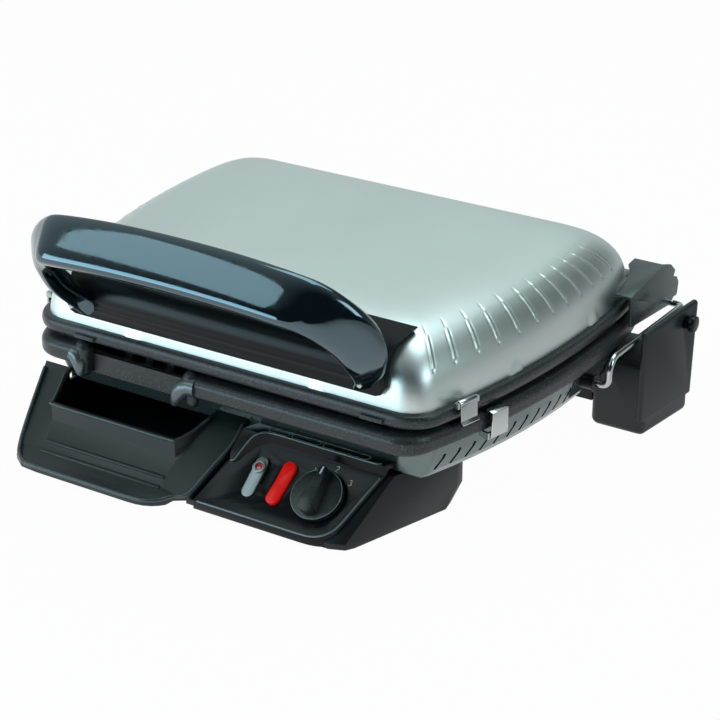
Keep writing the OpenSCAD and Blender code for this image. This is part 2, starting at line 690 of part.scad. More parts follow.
module arm_notch(z0, z1) both_sides() translate([arm_x - 1, lid_depth - 50, z0]) cube([arm_w + 2, 60, z1 - z0]);

module lid_frame() home() color("#2a2e30") difference() {
  slab(inset_pts(4), lid_z + gap, lid_z + 3);
  slab(inset_pts(14), 0, far);
  arm_notch(0, far);
}

module upper_reflector() home() color("#c8ccce") difference() {
  union() {
    slab(inset_pts(17), lid_z + gap, lid_z + 1.5);
    slab(inset_pts(30), lid_z + 1, lid_z + 18);
  }
  slab(inset_pts(31.2), 0, lid_z + 17);
  arm_notch(0, far);
}

module upper_element() home() color("#5a5a58") difference() {
  element(lid_z + 4.2, 45, lid_depth - 51, lid_side - 71, element_r);
  cube(e, center = true);
}

module upper_plate() home() color("#33383c") {
  difference() {
    ring_loft(lid_line, [[-8, upper_bottom + 3], [2, upper_bottom], [4, upper_bottom + 1], [4.8, upper_bottom + 4],
      [4.2, upper_top - 1], [3, upper_top], [-8, upper_top]]);
    cube(e, center = true);
  }
  slab(lid_pts(-7), upper_bottom + 3.5, upper_top);
  cooking_ribs(upper_bottom - 2.5, upper_bottom + 4, 14);
  // lugs on the front edge
  for (x = [-100, 96]) translate([x, -7, upper_bottom + 2]) cube([14, 4, 2.4]);
}

arm_section = [[lid_depth - 43, lid_z + 0.6], [lid_depth - 43, lid_z + 3.6], [lid_depth + 1, lid_z + 3.6], [hinge_y - 9, lid_z + 1],
  [hinge_y + 6, hinge_z + 5], [hinge_y + 6.5, hinge_z - 4], [hinge_y, hinge_z - 7.5], [hinge_y - 6, hinge_z - 4],
  [hinge_y - 7.8, lid_z - 6], [lid_depth + 6.5, lid_z + 0.6]];

module lid_arm(side) home() color("#4c5254") mirror([side, 0, 0]) difference() {
  union() {
    along_x(arm_section, arm_x, arm_x + arm_w);
    translate([0, hinge_y, hinge_z]) rod_x(7.5, arm_x, arm_x + arm_w);
  }
  translate([0, hinge_y, hinge_z]) rod_x(hinge_bush_r + running, 0, far);
}

cover_x = rim_side + 4;
cover_t = 1.7;
cover_top = lid_z + 7;

// Folded sheet: a top face from the lid's side to the ridge, and a side face with two lobes
module arm_cover(side) home() color("#8c9596") mirror([side, 0, 0]) difference() {
  union() {
    along_x([[lid_depth - 45, cover_top], [lid_depth - 45, cover_top + cover_t], [hinge_y - 18, cover_top + cover_t + 4.6],
      [hinge_y - 3, cover_top - 1.4], [hinge_y - 4, cover_top - 3], [hinge_y - 18, cover_top + 4.4]], arm_x + arm_w + 2, cover_x);
    along_x([[lid_depth - 45, cover_top + cover_t], [hinge_y - 18, cover_top + cover_t + 4.6], [hinge_y - 8, cover_top + 3],
      [hinge_y - 1, cover_top - 3], [hinge_y - 3.5, cover_top - 7], [hinge_y + 2, cover_top - 8.5], [hinge_y + 5, cover_top - 13],
      [hinge_y + 4, cover_top - 20], [hinge_y - 2, cover_top - 24.5], [hinge_y - 8, cover_top - 24], [lid_depth - 43, cover_top - 18.5]],
      cover_x - cover_t, cover_x);
    // spacer between the cover and the arm
    translate([0, hinge_y - 12, lid_z + 1.4]) rod_x(2.2, arm_x + arm_w, cover_x - 0.5);
  }
  slab(lid_pts(gap * 2), 0, far);
  translate([0, hinge_y, hinge_z]) rod_x(hinge_bush_r + 1, arm_x + arm_w + 2, far);
}

// ---------------------------------------------------------------- handle

plate_face = -1.5;
mount_section = [[plate_face, lid_z + 6.6], [plate_face, lid_z + 18], [-0.4, lid_z + 24], [2.6, lid_z + 29.5],
  [8, lid_z + 34.3], [15, lid_z + 36.9], [27, lid_z + 38.8], [27, lid_z + 30], [plate_face, lid_z + 6.6]];

module handle_mount() home() color("#22272a") difference() {
  intersection() {
    along_x(mount_section, -far, far);
    translate([0, 60, 0]) rotate([90, 0, 0]) linear_extrude(far) polygon([[-101, lid_z + 6], [101, lid_z + 6], [106, lid_z + 8],
      [108.5, lid_z + 12], [107.5, lid_z + 20], [106.5, lid_z + 26], [107.5, lid_z + 32], [113, lid_z + 40],
      [-113, lid_z + 40], [-107.5, lid_z + 32], [-106.5, lid_z + 26], [-107.5, lid_z + 20], [-108.5, lid_z + 12], [-106, lid_z + 8]]);
  }
  lid_solid(-gap);
  both_sides() translate([98, 0, lid_z + 15.5]) rotate([-90, 0, 0]) translate([0, 0, -20]) cylinder(r = 1.9, h = 60);
}

// Upper and lower edge of the broad grip, from the middle to the right foot
upper_edge = [[0, -36, 88], [40, -35.6, 87], [75, -34, 83.5], [91, -29, 78.2], [105.5, -22, 67], [112.8, -15, 54.8],
  [114.6, -10.5, 43.6], [111.5, -5, 30.2], [105, -1, 20]];
lower_edge = [[0, -55, 64.5], [40, -54.6, 63.6], [75, -53, 61], [83.5, -48, 57.4], [90, -40, 50.5], [94, -31, 41.5],
  [95.5, -21, 30], [93, -9.5, 19.5], [88, -1.2, 12]];
grip_half = 6.5;                     // half of the grip's thickness
grip_sides = 20;

function power(v, n) = sign(v) * abs(v) ^ n;
function grip_ring(i, s) =
  let (
    last = len(upper_edge) - 1,
    a = [upper_edge[i][0] * s, upper_edge[i][1], upper_edge[i][2] + lid_z],
    b = [lower_edge[i][0] * s, lower_edge[i][1], lower_edge[i][2] + lid_z],
    j0 = max(i - 1, 0),
    j1 = min(i + 1, last),
    t0 = (upper_edge[j0] + lower_edge[j0]) / 2,
    t1 = (upper_edge[j1] + lower_edge[j1]) / 2,
    t = i == 0 ? [1, 0, 0] : [(t1[0] - t0[0]) * s, t1[1] - t0[1], t1[2] - t0[2]] * s,
    w = (a - b) / 2,
    n = cross(t, w),
    h = grip_half * n / norm(n))
  [for (k = [0:grip_sides - 1]) let (u = 360 * k / grip_sides)
    (a + b) / 2 + w * power(cos(u), 0.7) + h * power(sin(u), 0.6)];

module handle() home() color("#07090a") difference() {
  loft(concat([for (i = [len(upper_edge) - 1:-1:1]) grip_ring(i, -1)], [for (i = [0:len(upper_edge) - 1]) grip_ring(i, 1)]));
  translate([-far / 2, plate_face - gap / 3, lid_z]) cube([far, 40, 60]);
  both_sides() translate([98, 0, lid_z + 15.5]) rotate([-90, 0, 0]) translate([0, 0, -11]) cylinder(r = 1.6, h = 40);
}

module handle_screws() home() color("silver") both_sides() translate([98, 0, lid_z + 15.5]) rotate([-90, 0, 0]) {
  translate([0, 0, -10.5]) cylinder(r = 1.5, h = 13);
}

// ---------------------------------------------------------------- clips

clip_w = 12.5;
clip_t = 1;
pin_clip_r = 1;
upper_clip_at = side_at(lid_pts(5.4), 28);
lower_clip_at = side_at(rim_pts(1.9), 51);

module at_clip(place, side) mirror([side, 0, 0]) translate([place[0], place[1], 0]) rotate([0, 0, -place[2]]) children();

// A barrel round the pin, a flat face and a curled end, bent from one strip
module clip_strip(pin_x, pin_z, path) {
  difference() {
    union() {
      translate([pin_x, clip_w / 2, pin_z]) rotate([90, 0, 0]) cylinder(r = pin_clip_r + 1, h = clip_w);
      translate([0, clip_w / 2, 0]) rotate([90, 0, 0]) linear_extrude(clip_w) polygon(path);
    }
    translate([pin_x, clip_w, pin_z]) rotate([90, 0, 0]) cylinder(r = pin_clip_r + running, h = clip_w * 2);
  }
}

module clip_saddle(pin_x, pin_z, seat) {
  translate([pin_x, clip_w / 2 + 2.2, pin_z]) rotate([90, 0, 0]) cylinder(r = pin_clip_r, h = clip_w + 4.4);
  for (s = [-1, 1]) translate([0, s * (clip_w / 2 + 1.2), 0]) rotate([90, 0, 0]) linear_extrude(1.6, center = true) polygon(seat);
}

upper_pin = [1.2, lid_z + 2];
upper_path = [[upper_pin[0], lid_z + 3], [upper_pin[0], lid_z + 2], [2.2, lid_z + 0.9], [2.4, upper_bottom - 0.4], [5, upper_bottom - 2],
  [5.4, upper_bottom - 1.2], [3.5, upper_bottom + 0.2], [3.3, lid_z + 1.6], [2.6, lid_z + 2.8]];

module upper_clip(side) home() color("#c5cbcc") at_clip(upper_clip_at, side) clip_strip(upper_pin[0], upper_pin[1], upper_path);

module upper_clip_saddles() home() color("#9ba1a2") for (s = [0, 1]) at_clip(upper_clip_at, s)
  clip_saddle(upper_pin[0], upper_pin[1], [[-1.2, upper_top + 0.2], [2.6, upper_top + 0.2], [2.6, lid_z + 3.2], [0, lid_z + 3.2]]);

lower_pin = [0, lower_bottom - 2.6];
lower_path = [[1, lower_bottom - 2.6], [2, lower_bottom - 2.6], [3, lower_bottom], [3, lower_top + 0.6], [-3.4, lower_top + 1.8],
  [-3.4, lower_top + 0.6], [1.9, lower_top - 0.8], [1.9, lower_bottom], [1, lower_bottom - 0.9]];

module lower_clip(side) home() color("#c5cbcc") at_clip(lower_clip_at, side) clip_strip(lower_pin[0], lower_pin[1], lower_path);

module lower_clip_saddles() home() color("#9ba1a2") for (s = [0, 1]) at_clip(lower_clip_at, s)
  clip_saddle(lower_pin[0], lower_pin[1], [[-5.4, lower_bottom - 3.4], [1.4, lower_bottom - 4.2], [1.4, lower_bottom - 0.05], [-5.4, lower_bottom - 0.05]]);

base_housing();
base_cover();
front_feet();
control_panel();
thermostat_body();
thermostat_shaft();
thermostat_knob();
knob_marker();
switch_body();
rocker_switch();
indicator_plate();
indicator_lens();
indicator_lamp();
terminal_block();
thermal_fuse();
drip_tray();
lower_bowl();
lower_reflector();
lower_element();
lower_plate();
rear_bridge();
rear_leg(1);  // rear_leg_left
rear_leg(0);  // rear_leg_right
leg_pins();
rear_feet();
cord_gland();
bail_bushes();
bail_wire();
hinge_bushes();
lid_shell();
lid_frame();
upper_reflector();
upper_element();
upper_plate();
lid_arm(1);  // lid_arm_left
lid_arm(0);  // lid_arm_right
arm_cover(1);  // arm_cover_left
arm_cover(0);  // arm_cover_right
handle_mount();
handle();
handle_screws();
upper_clip(1);  // upper_clip_left
upper_clip(0);  // upper_clip_right
upper_clip_saddles();
lower_clip(1);  // lower_clip_left
lower_clip(0);  // lower_clip_right
lower_clip_saddles();
base_screws();
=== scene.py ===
# %% [markdown]
# # An electric indoor grill with a hinged lid
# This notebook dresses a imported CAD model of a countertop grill. The moving parts, the sizes and
# the hidden works come from the CAD frame. Here the visible skins get their fine shapes and their
# finishes, and the scene gets a camera, soft light and a pale floor.

# %% Load the frame
import bpy
import json
import math
from mathutils import Vector, Matrix


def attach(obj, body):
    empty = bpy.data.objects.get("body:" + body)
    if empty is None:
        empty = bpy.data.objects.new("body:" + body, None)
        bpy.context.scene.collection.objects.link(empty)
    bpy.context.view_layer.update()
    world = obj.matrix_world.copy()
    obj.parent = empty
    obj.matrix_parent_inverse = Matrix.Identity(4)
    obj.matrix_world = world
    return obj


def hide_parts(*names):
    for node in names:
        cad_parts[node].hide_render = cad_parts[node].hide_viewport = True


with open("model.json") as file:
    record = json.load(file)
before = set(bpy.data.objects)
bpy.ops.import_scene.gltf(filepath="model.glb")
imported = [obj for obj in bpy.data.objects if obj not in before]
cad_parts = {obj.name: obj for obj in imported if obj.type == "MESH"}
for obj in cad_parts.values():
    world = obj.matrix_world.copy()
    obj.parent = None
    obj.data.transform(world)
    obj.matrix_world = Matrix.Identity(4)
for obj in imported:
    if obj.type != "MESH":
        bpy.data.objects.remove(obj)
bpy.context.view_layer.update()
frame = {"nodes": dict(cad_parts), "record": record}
node = frame["nodes"]
MM = 0.001
FRONT = -0.1025              # the lid's front face, in metres along Y


def at(x, y, z):
    """A place in metres from millimetres measured from the lid's front face."""
    return Vector((x * MM, y * MM + FRONT, z * MM))


def deselect():
    """Selects nothing, because an operator acts on all that is selected."""
    if bpy.context.object and bpy.context.object.mode != "OBJECT":
        bpy.ops.object.mode_set(mode="OBJECT")
    bpy.ops.object.select_all(action="DESELECT")


# %% [markdown]
# ## The camera
# The photograph was taken with a long lens from the front right, a little above the lid. A camera
# can be moved by eye until it fits. This one was solved from the straight edges of the real lid,
# which is more exact, so its place and its axes are written down here as plain numbers.

# %% Camera
CAMERA_PLACE = (637.0, -869.6, 594.1)
CAMERA_RIGHT, CAMERA_BACK = (0.8474, 0.5310, 0.0), (0.4797, -0.7655, 0.4289)
SENSOR_WIDTH, LENS = 36, 106.25                  # both in millimetres
FARTHEST = 20                                    # metres
camera_data = bpy.data.cameras.new("camera")
camera = bpy.data.objects.new("camera", camera_data)
bpy.context.scene.collection.objects.link(camera)
camera_right = Vector(CAMERA_RIGHT).normalized()
camera_back = Vector(CAMERA_BACK).normalized()
camera_up = camera_back.cross(camera_right).normalized()
camera_right = camera_up.cross(camera_back).normalized()
turn = Matrix((camera_right, camera_up, camera_back)).transposed()
camera.matrix_world = Matrix.Translation(at(*CAMERA_PLACE)) @ turn.to_4x4()
camera_data.sensor_width = SENSOR_WIDTH
camera_data.lens = LENS
camera_data.clip_end = FARTHEST
bpy.context.scene.camera = camera
bpy.context.scene.view_settings.view_transform = "Standard"
print("camera", [round(v, 3) for v in camera.location])


# %% [markdown]
# ## Small helpers for shader nodes
# The world, the floor and every finish are built from shader nodes. They could be placed one by one
# with a line for each value. Four short helpers keep that readable: one sets the values of a
# node's inputs, one adds a node, one draws the links, and one lists the values of a Map Range node.


# %% Shader node helpers
WHITE = (1, 1, 1, 1)


def set_inputs(shader, values):
    for label, value in values.items():
        shader.inputs[label].default_value = value


def add_node(tree, kind, operation=None, values=None):
    new = tree.nodes.new("ShaderNode" + kind)
    if operation:
        new.operation = operation
    set_inputs(new, values or {})
    return new


def link(tree, *pairs):
    for source, target in pairs:
        tree.links.new(source, target)


def spread_over(from_min, from_max, to_min, to_max):
    """The input values of a Map Range node."""
    return {"From Min": from_min, "From Max": from_max, "To Min": to_min, "To Max": to_max}


# %% [markdown]
# ## The world
# Shiny metal looks like what stands around it. A photograph of a studio could stand for that, but a
# few nodes do the same and can be tuned. The world is bright behind the grill, as a backdrop is,
# and dark on the camera's side, where a studio is unlit. A gap in the backdrop, behind on the
# right, is darker too. Rays from the camera see plain white.

# %% World
BACKDROP_WAY = (-0.53, 0.80, 0.28)               # towards the middle of the backdrop
GAP_WAY = (0.43, 0.76, 0.49)                     # towards the unlit gap
UNLIT, BACKDROP = (0.022, 0.030, 0.034, 1), (0.50, 0.545, 0.54, 1)
UNLIT_TO, BACKDROP_FROM = 0.28, 0.8              # 0 is the camera's side, 1 the backdrop's middle
GAP_EDGE, GAP_CORE, GAP_SHADE = 0.86, 0.97, 0.13
world = bpy.data.worlds.new("studio")
bpy.context.scene.world = world
world.use_nodes = True
w_tree = world.node_tree
w_tree.nodes.clear()
w_coord = add_node(w_tree, "TexCoord")
w_dot = add_node(w_tree, "VectorMath", "DOT_PRODUCT", {1: BACKDROP_WAY})
w_half = add_node(w_tree, "Math", "MULTIPLY_ADD", {1: 0.5, 2: 0.5})
w_ramp = add_node(w_tree, "ValToRGB")
w_ramp.color_ramp.elements[0].position = UNLIT_TO
w_ramp.color_ramp.elements[0].color = UNLIT
w_ramp.color_ramp.elements[1].position = BACKDROP_FROM
w_ramp.color_ramp.elements[1].color = BACKDROP
w_gap = add_node(w_tree, "VectorMath", "DOT_PRODUCT", {1: GAP_WAY})
w_shade = add_node(w_tree, "MapRange", values=spread_over(GAP_EDGE, GAP_CORE, 1.0, GAP_SHADE))
w_dim = add_node(w_tree, "VectorMath", "SCALE")
w_studio = add_node(w_tree, "Background")
w_white = add_node(w_tree, "Background", values={"Color": WHITE})
w_path = add_node(w_tree, "LightPath")
w_mix = add_node(w_tree, "MixShader")
w_out = add_node(w_tree, "OutputWorld")
print("world nodes", len(w_tree.nodes))

# %% Links of the world
link(w_tree,
     (w_coord.outputs["Generated"], w_dot.inputs[0]),
     (w_dot.outputs["Value"], w_half.inputs[0]),
     (w_half.outputs[0], w_ramp.inputs[0]),
     (w_coord.outputs["Generated"], w_gap.inputs[0]),
     (w_gap.outputs["Value"], w_shade.inputs["Value"]),
     (w_ramp.outputs[0], w_dim.inputs[0]),
     (w_shade.outputs["Result"], w_dim.inputs["Scale"]),
     (w_dim.outputs["Vector"], w_studio.inputs["Color"]),
     (w_path.outputs["Is Camera Ray"], w_mix.inputs[0]),
     (w_studio.outputs[0], w_mix.inputs[1]),
     (w_white.outputs[0], w_mix.inputs[2]),
     (w_mix.outputs[0], w_out.inputs[0]))
print("world links", len(w_tree.links))

# %% [markdown]
# ## The floor
# The grill stands on a plain pale table. A white plane that only scatters light would look grey
# here and there. So nearly all that the camera and the shiny parts see of this one is its own even
# glow, and the small rest keeps the shadow. In reflections the glow fades to half towards the rear
# right, because the right sides of the grill would shine too white otherwise.

# %% Floor
FLOOR_SIZE, FLOOR_Z = 8, -0.0002                 # metres
FADE_WAY = (0.7, 0.7, 0)                         # towards the rear right
FADE_FROM, FADE_TO, FADED = -0.05, 0.35, 0.50    # metres that way; the strength that is left
GLOW_SHARE, FLOOR_GREY = 0.97, (0.8, 0.8, 0.8, 1)
deselect()
bpy.ops.mesh.primitive_plane_add(size=FLOOR_SIZE, location=(0, 0, FLOOR_Z))
floor = bpy.context.object
floor.name = "floor"
floor_look = bpy.data.materials.new("floor_white")
floor_look.use_nodes = True
f_tree = floor_look.node_tree
f_tree.nodes.clear()
f_path = add_node(f_tree, "LightPath")
f_seen = add_node(f_tree, "Math", "MAXIMUM")
f_share = add_node(f_tree, "Math", "MULTIPLY", {1: GLOW_SHARE})
f_coord = add_node(f_tree, "TexCoord")
f_far = add_node(f_tree, "VectorMath", "DOT_PRODUCT", {1: FADE_WAY})
f_fall = add_node(f_tree, "MapRange", values=spread_over(FADE_FROM, FADE_TO, 1.0, FADED))
f_level = add_node(f_tree, "Math", "MAXIMUM")
f_diffuse = add_node(f_tree, "BsdfDiffuse", values={"Color": FLOOR_GREY})
f_glow = add_node(f_tree, "Emission", values={"Color": WHITE})
f_mix = add_node(f_tree, "MixShader")
f_out = add_node(f_tree, "OutputMaterial")
print("floor nodes", len(f_tree.nodes))

# %% Links of the floor
link(f_tree,
     (f_path.outputs["Is Camera Ray"], f_seen.inputs[0]),
     (f_path.outputs["Is Glossy Ray"], f_seen.inputs[1]),
     (f_seen.outputs[0], f_share.inputs[0]),
     (f_coord.outputs["Object"], f_far.inputs[0]),
     (f_far.outputs["Value"], f_fall.inputs["Value"]),
     (f_fall.outputs["Result"], f_level.inputs[0]),
     (f_path.outputs["Is Camera Ray"], f_level.inputs[1]),
     (f_level.outputs[0], f_glow.inputs["Strength"]),
     (f_share.outputs[0], f_mix.inputs[0]),
     (f_diffuse.outputs[0], f_mix.inputs[1]),
     (f_glow.outputs[0], f_mix.inputs[2]),
     (f_mix.outputs[0], f_out.inputs[0]))
floor.data.materials.append(floor_look)
print("floor laid")


# %% [markdown]
# ## The lamps
# Small lamps would give hard shadows and points of light. The real grill was lit softly, so large
# rectangular lamps are used: a softbox in front on the left, one overhead, one on the right, and a
# low card in front that reaches the faces which look forward. Their light leans to cyan.


# %% Lamps
def lamp(name, place, aim, width, height, power, colour=(0.80, 0.96, 1.0)):
    """A rectangular lamp: places and sizes in metres, power in watts."""
    data = bpy.data.lights.new(name, "AREA")
    data.color = colour
    data.shape = "RECTANGLE"
    data.size = width
    data.size_y = height
    data.energy = power
    obj = bpy.data.objects.new(name, data)
    bpy.context.scene.collection.objects.link(obj)
    way = (Vector(aim) - Vector(place)).normalized()
    obj.matrix_world = Matrix.Translation(place) @ way.to_track_quat("-Z", "Y").to_matrix().to_4x4()


lamp("key_softbox", (-0.85, -1.05, 1.3), (0, -0.05, 0.12), width=1.2, height=0.8, power=5)
lamp("top_softbox", (0.1, 0.5, 1.7), (0, 0, 0.1), width=1.4, height=0.9, power=10)
lamp("side_softbox", (1.6, -0.1, 0.9), (0.1, 0, 0.08), width=0.5, height=0.8, power=5)
lamp("front_card", (-0.75, -1.15, 0.16), (0, -0.1, 0.09), width=1.4, height=0.5, power=8.5,
     colour=(0.62, 0.88, 1.0))
print("lamps", len(bpy.data.lights))

# %% [markdown]
# ## Shared effects
# Pressed steel, cast plates and mouldings all carry a fine texture. It could be drawn anew in every
# material, but a node group is built once and tuned in each. One group gives a grain: a noise of a
# chosen size, as a value and as a bumped normal. A second group gives broad, soft unevenness, which
# keeps large faces from looking flat.


# %% Grain and unevenness groups
NOISE_LOW, NOISE_HIGH = 0.3, 0.7                 # a noise keeps mostly between these
FINE_DETAIL, BROAD_DETAIL = 3, 4
BUMP_HEIGHT = 0.0002                             # metres


def new_group(name, inputs, outputs):
    group = bpy.data.node_groups.new(name, "ShaderNodeTree")
    for label, value in inputs:
        socket = group.interface.new_socket(label, in_out="INPUT", socket_type="NodeSocketFloat")
        socket.default_value = value
    for label, kind in outputs:
        group.interface.new_socket(label, in_out="OUTPUT", socket_type=kind)
    return group, group.nodes.new("NodeGroupInput"), group.nodes.new("NodeGroupOutput")


def build_grain():
    group, g_in, g_out = new_group("grain", [("Scale", 900.0), ("Depth", 0.2), ("Softness", 0.6)],
                                   [("Value", "NodeSocketFloat"), ("Normal", "NodeSocketVector")])
    coord = add_node(group, "TexCoord")
    noise = add_node(group, "TexNoise", values={"Detail": FINE_DETAIL})
    bump = add_node(group, "Bump", values={"Distance": BUMP_HEIGHT})
    link(group,
         (coord.outputs["Object"], noise.inputs["Vector"]),
         (g_in.outputs["Scale"], noise.inputs["Scale"]),
         (g_in.outputs["Softness"], noise.inputs["Roughness"]),
         (g_in.outputs["Depth"], bump.inputs["Strength"]),
         (noise.outputs["Fac"], bump.inputs["Height"]),
         (noise.outputs["Fac"], g_out.inputs["Value"]),
         (bump.outputs["Normal"], g_out.inputs["Normal"]))
    return group


def build_uneven():
    group, g_in, g_out = new_group("uneven", [("Scale", 12.0), ("Low", 0.9), ("High", 1.1)],
                                   [("Value", "NodeSocketFloat")])
    coord = add_node(group, "TexCoord")
    noise = add_node(group, "TexNoise", values={"Detail": BROAD_DETAIL})
    span = add_node(group, "MapRange", values={"From Min": NOISE_LOW, "From Max": NOISE_HIGH})
    link(group,
         (coord.outputs["Object"], noise.inputs["Vector"]),
         (g_in.outputs["Scale"], noise.inputs["Scale"]),
         (noise.outputs["Fac"], span.inputs["Value"]),
         (g_in.outputs["Low"], span.inputs["To Min"]),
         (g_in.outputs["High"], span.inputs["To Max"]),
         (span.outputs["Result"], g_out.inputs["Value"]))
    return group


GRAIN = build_grain()
UNEVEN = build_uneven()
print("groups", [g.name for g in bpy.data.node_groups])


# %% [markdown]
# ## Finishes
# Every finish is a Principled shader, which can be metal, paint, plastic or rubber, so one maker
# serves them all. Its colour is varied by the soft unevenness, its roughness by the grain, and the
# grain's normal gives the surface its texture. Speckles, where a coating has them, are a second
# noise that is cut off at a level.


# %% The finish maker
COAT_ROUGHNESS = 0.08
UNEVEN_SIZE = 14.0
ROUGH_SPREAD, SMOOTHEST = 0.05, 0.02
SPOT_EDGE = 0.06                                 # how softly a speckle ends


def add_group(tree, group, values):
    new = add_node(tree, "Group")
    new.node_tree = group
    set_inputs(new, values)
    return new


def speckled(tree, colour_out, size, level, spot):
    """The colour with spots of another one wherever a noise passes a level."""
    coord = add_node(tree, "TexCoord")
    dots = add_node(tree, "TexNoise", values={"Scale": size, "Detail": 1})
    cut = add_node(tree, "MapRange", values={"From Min": level, "From Max": level + SPOT_EDGE})
    blend = add_node(tree, "Mix")
    blend.data_type = "RGBA"
    set_inputs(blend, {"B": (*spot, 1)})
    link(tree,
         (coord.outputs["Object"], dots.inputs["Vector"]),
         (dots.outputs["Fac"], cut.inputs["Value"]),
         (cut.outputs["Result"], blend.inputs["Factor"]),
         (colour_out, blend.inputs["A"]))
    return blend.outputs["Result"]


def finish(name, colour, rough, grain, depth, metal=0.0, spread=0.06, coat=0.0, specular=0.5,
           speckle=None, glow=0.0):
    """A material with a grain of a size and depth, and a colour that varies by a spread."""
    look = bpy.data.materials.new(name)
    look.use_nodes = True
    tree = look.node_tree
    bsdf = tree.nodes["Principled BSDF"]
    set_inputs(bsdf, {"Metallic": metal, "Coat Weight": coat, "Coat Roughness": COAT_ROUGHNESS,
                      "Specular IOR Level": specular, "Emission Color": (*colour, 1),
                      "Emission Strength": glow})
    fine = add_group(tree, GRAIN, {"Scale": grain, "Depth": depth})
    broad = add_group(tree, UNEVEN, {"Scale": UNEVEN_SIZE, "Low": 1 - spread, "High": 1 + spread})
    tint = add_node(tree, "VectorMath", "SCALE", {0: colour})
    span = add_node(tree, "MapRange", values=spread_over(
        NOISE_LOW, NOISE_HIGH, max(SMOOTHEST, rough - ROUGH_SPREAD), rough + ROUGH_SPREAD))
    link(tree, (broad.outputs["Value"], tint.inputs["Scale"]))
    colour_out = tint.outputs["Vector"]
    if speckle:
        colour_out = speckled(tree, colour_out, *speckle)
    link(tree,
         (colour_out, bsdf.inputs["Base Color"]),
         (fine.outputs["Value"], span.inputs["Value"]),
         (span.outputs["Result"], bsdf.inputs["Roughness"]),
         (fine.outputs["Normal"], bsdf.inputs["Normal"]))
    return look


# %% The finishes of the grill
LOOKS = {
    "lid_steel": finish("satin_steel", (0.77, 0.87, 0.845), 0.39, metal=1.0, grain=2600,
                        depth=0.10, spread=0.03),
    "nonstick": finish("nonstick_coating", (0.026, 0.031, 0.035), 0.31, grain=1500, depth=0.5,
                       spread=0.12, speckle=(1400, 0.62, (0.12, 0.135, 0.145))),
    "enamel": finish("gloss_enamel", (0.15, 0.19, 0.19), 0.15, metal=0.75, grain=420, depth=0.06,
                     coat=0.3),
    "housing": finish("matte_moulding", (0.007, 0.010, 0.012), 0.40, grain=2400, depth=0.35,
                      specular=0.4),
    "panel_black": finish("satin_panel", (0.003, 0.005, 0.006), 0.24, grain=2600, depth=0.08,
                          specular=0.22),
    "handle_black": finish("polished_grip", (0.001, 0.003, 0.005), 0.10, grain=260, depth=0.015,
                           specular=1.0),
    "tray_black": finish("tray_moulding", (0.013, 0.020, 0.023), 0.31, grain=2400, depth=0.35),
    "rocker_red": finish("red_rocker", (0.78, 0.006, 0.002), 0.22, grain=1200, depth=0.05,
                         specular=0.3, glow=0.28),
    "jewel_red": finish("red_jewel", (0.50, 0.02, 0.01), 0.06, grain=1200, depth=0.05, coat=1.0,
                        glow=0.1),
    "silver": finish("silver_paint", (0.33, 0.375, 0.38), 0.36, metal=0.5, grain=3000, depth=0.15),
    "white": finish("white_inlay", (0.80, 0.82, 0.82), 0.5, grain=3000, depth=0.1),
    "chrome": finish("bright_plating", (0.56, 0.60, 0.60), 0.16, metal=1.0, grain=900, depth=0.06),
    "steel": finish("zinc_steel", (0.50, 0.54, 0.54), 0.30, metal=1.0, grain=1800, depth=0.2),
    "arm_grey": finish("grey_bracket", (0.085, 0.112, 0.11), 0.26, metal=0.6, grain=2400,
                       depth=0.2),
    "rubber": finish("black_rubber", (0.010, 0.010, 0.010), 0.7, grain=1600, depth=0.4),
    "ceramic": finish("cream_ceramic", (0.62, 0.58, 0.50), 0.55, grain=1400, depth=0.3),
    "element": finish("oxidised_tube", (0.10, 0.10, 0.09), 0.5, metal=0.6, grain=1400, depth=0.4),
    "reflector": finish("rolled_aluminium", (0.70, 0.71, 0.72), 0.25, metal=1.0, grain=1600,
                        depth=0.2),
}
slot_of = {s["node"]: s["material_slot"] for s in frame["record"]["subparts"]}
for name, obj in node.items():
    obj.data.materials.clear()
    obj.data.materials.append(LOOKS[slot_of[name]])
print("finishes", len(LOOKS))

# %% [markdown]
# ## Finishes of single pieces
# A few pieces share a material slot with others and still look different. The polished grip bends
# light more strongly than plain plastic and reflects it bluish, which is set on its shader. The
# legs, the knob and prints get a finish of their own. Thin edge beads and the horns beside the
# spout get paler finishes, which paint highlights on them.

# %% Own finishes
GRIP_IOR, GRIP_TINT = 1.75, (0.60, 0.87, 1.0, 1)
grip_shader = LOOKS["handle_black"].node_tree.nodes["Principled BSDF"]
set_inputs(grip_shader, {"IOR": GRIP_IOR, "Specular Tint": GRIP_TINT})
LEG_LOOK = finish("satin_leg", (0.021, 0.030, 0.031), 0.36, grain=2400, depth=0.2)
KNOB_LOOK = finish("satin_knob", (0.016, 0.022, 0.024), 0.28, grain=2400, depth=0.15)
OWN_LOOK = {"rear_leg_left": LEG_LOOK, "rear_leg_right": LEG_LOOK, "thermostat_knob": KNOB_LOOK}
# a paler finish for thin beads, which paints a highlight along edges
HIGHLIGHT_EDGE_LOOK = finish("painted_highlight_edge", (0.15, 0.20, 0.21), 0.24, metal=0.3, grain=2600, depth=0.08,
                   coat=0.3)
PRINT_LOOK = finish("grey_print", (0.42, 0.47, 0.48), 0.45, grain=3000, depth=0.1)
# a paler finish, which paints the highlight on the horns beside the spout
HORN_HIGHLIGHT_LOOK = finish("painted_horn_highlight", (0.15, 0.17, 0.18), 0.26, metal=0.6, grain=1500, depth=0.2)
print("pieces with a look of their own", sorted(OWN_LOOK))


# %% [markdown]
# ## Helpers that shape a piece
# A lofted skin, such as a pressed lid or a moulded handle, can be made from a flat grid: one
# direction of the grid goes round the outline and the other goes up the profile. The grid is a
# primitive, each of its points is then carried to its place, and the seam is merged. That keeps
# the faces even, so satin reflections run over them without a ripple.


# %% Wrap a grid round a form
MERGE = 0.000002                                 # metres


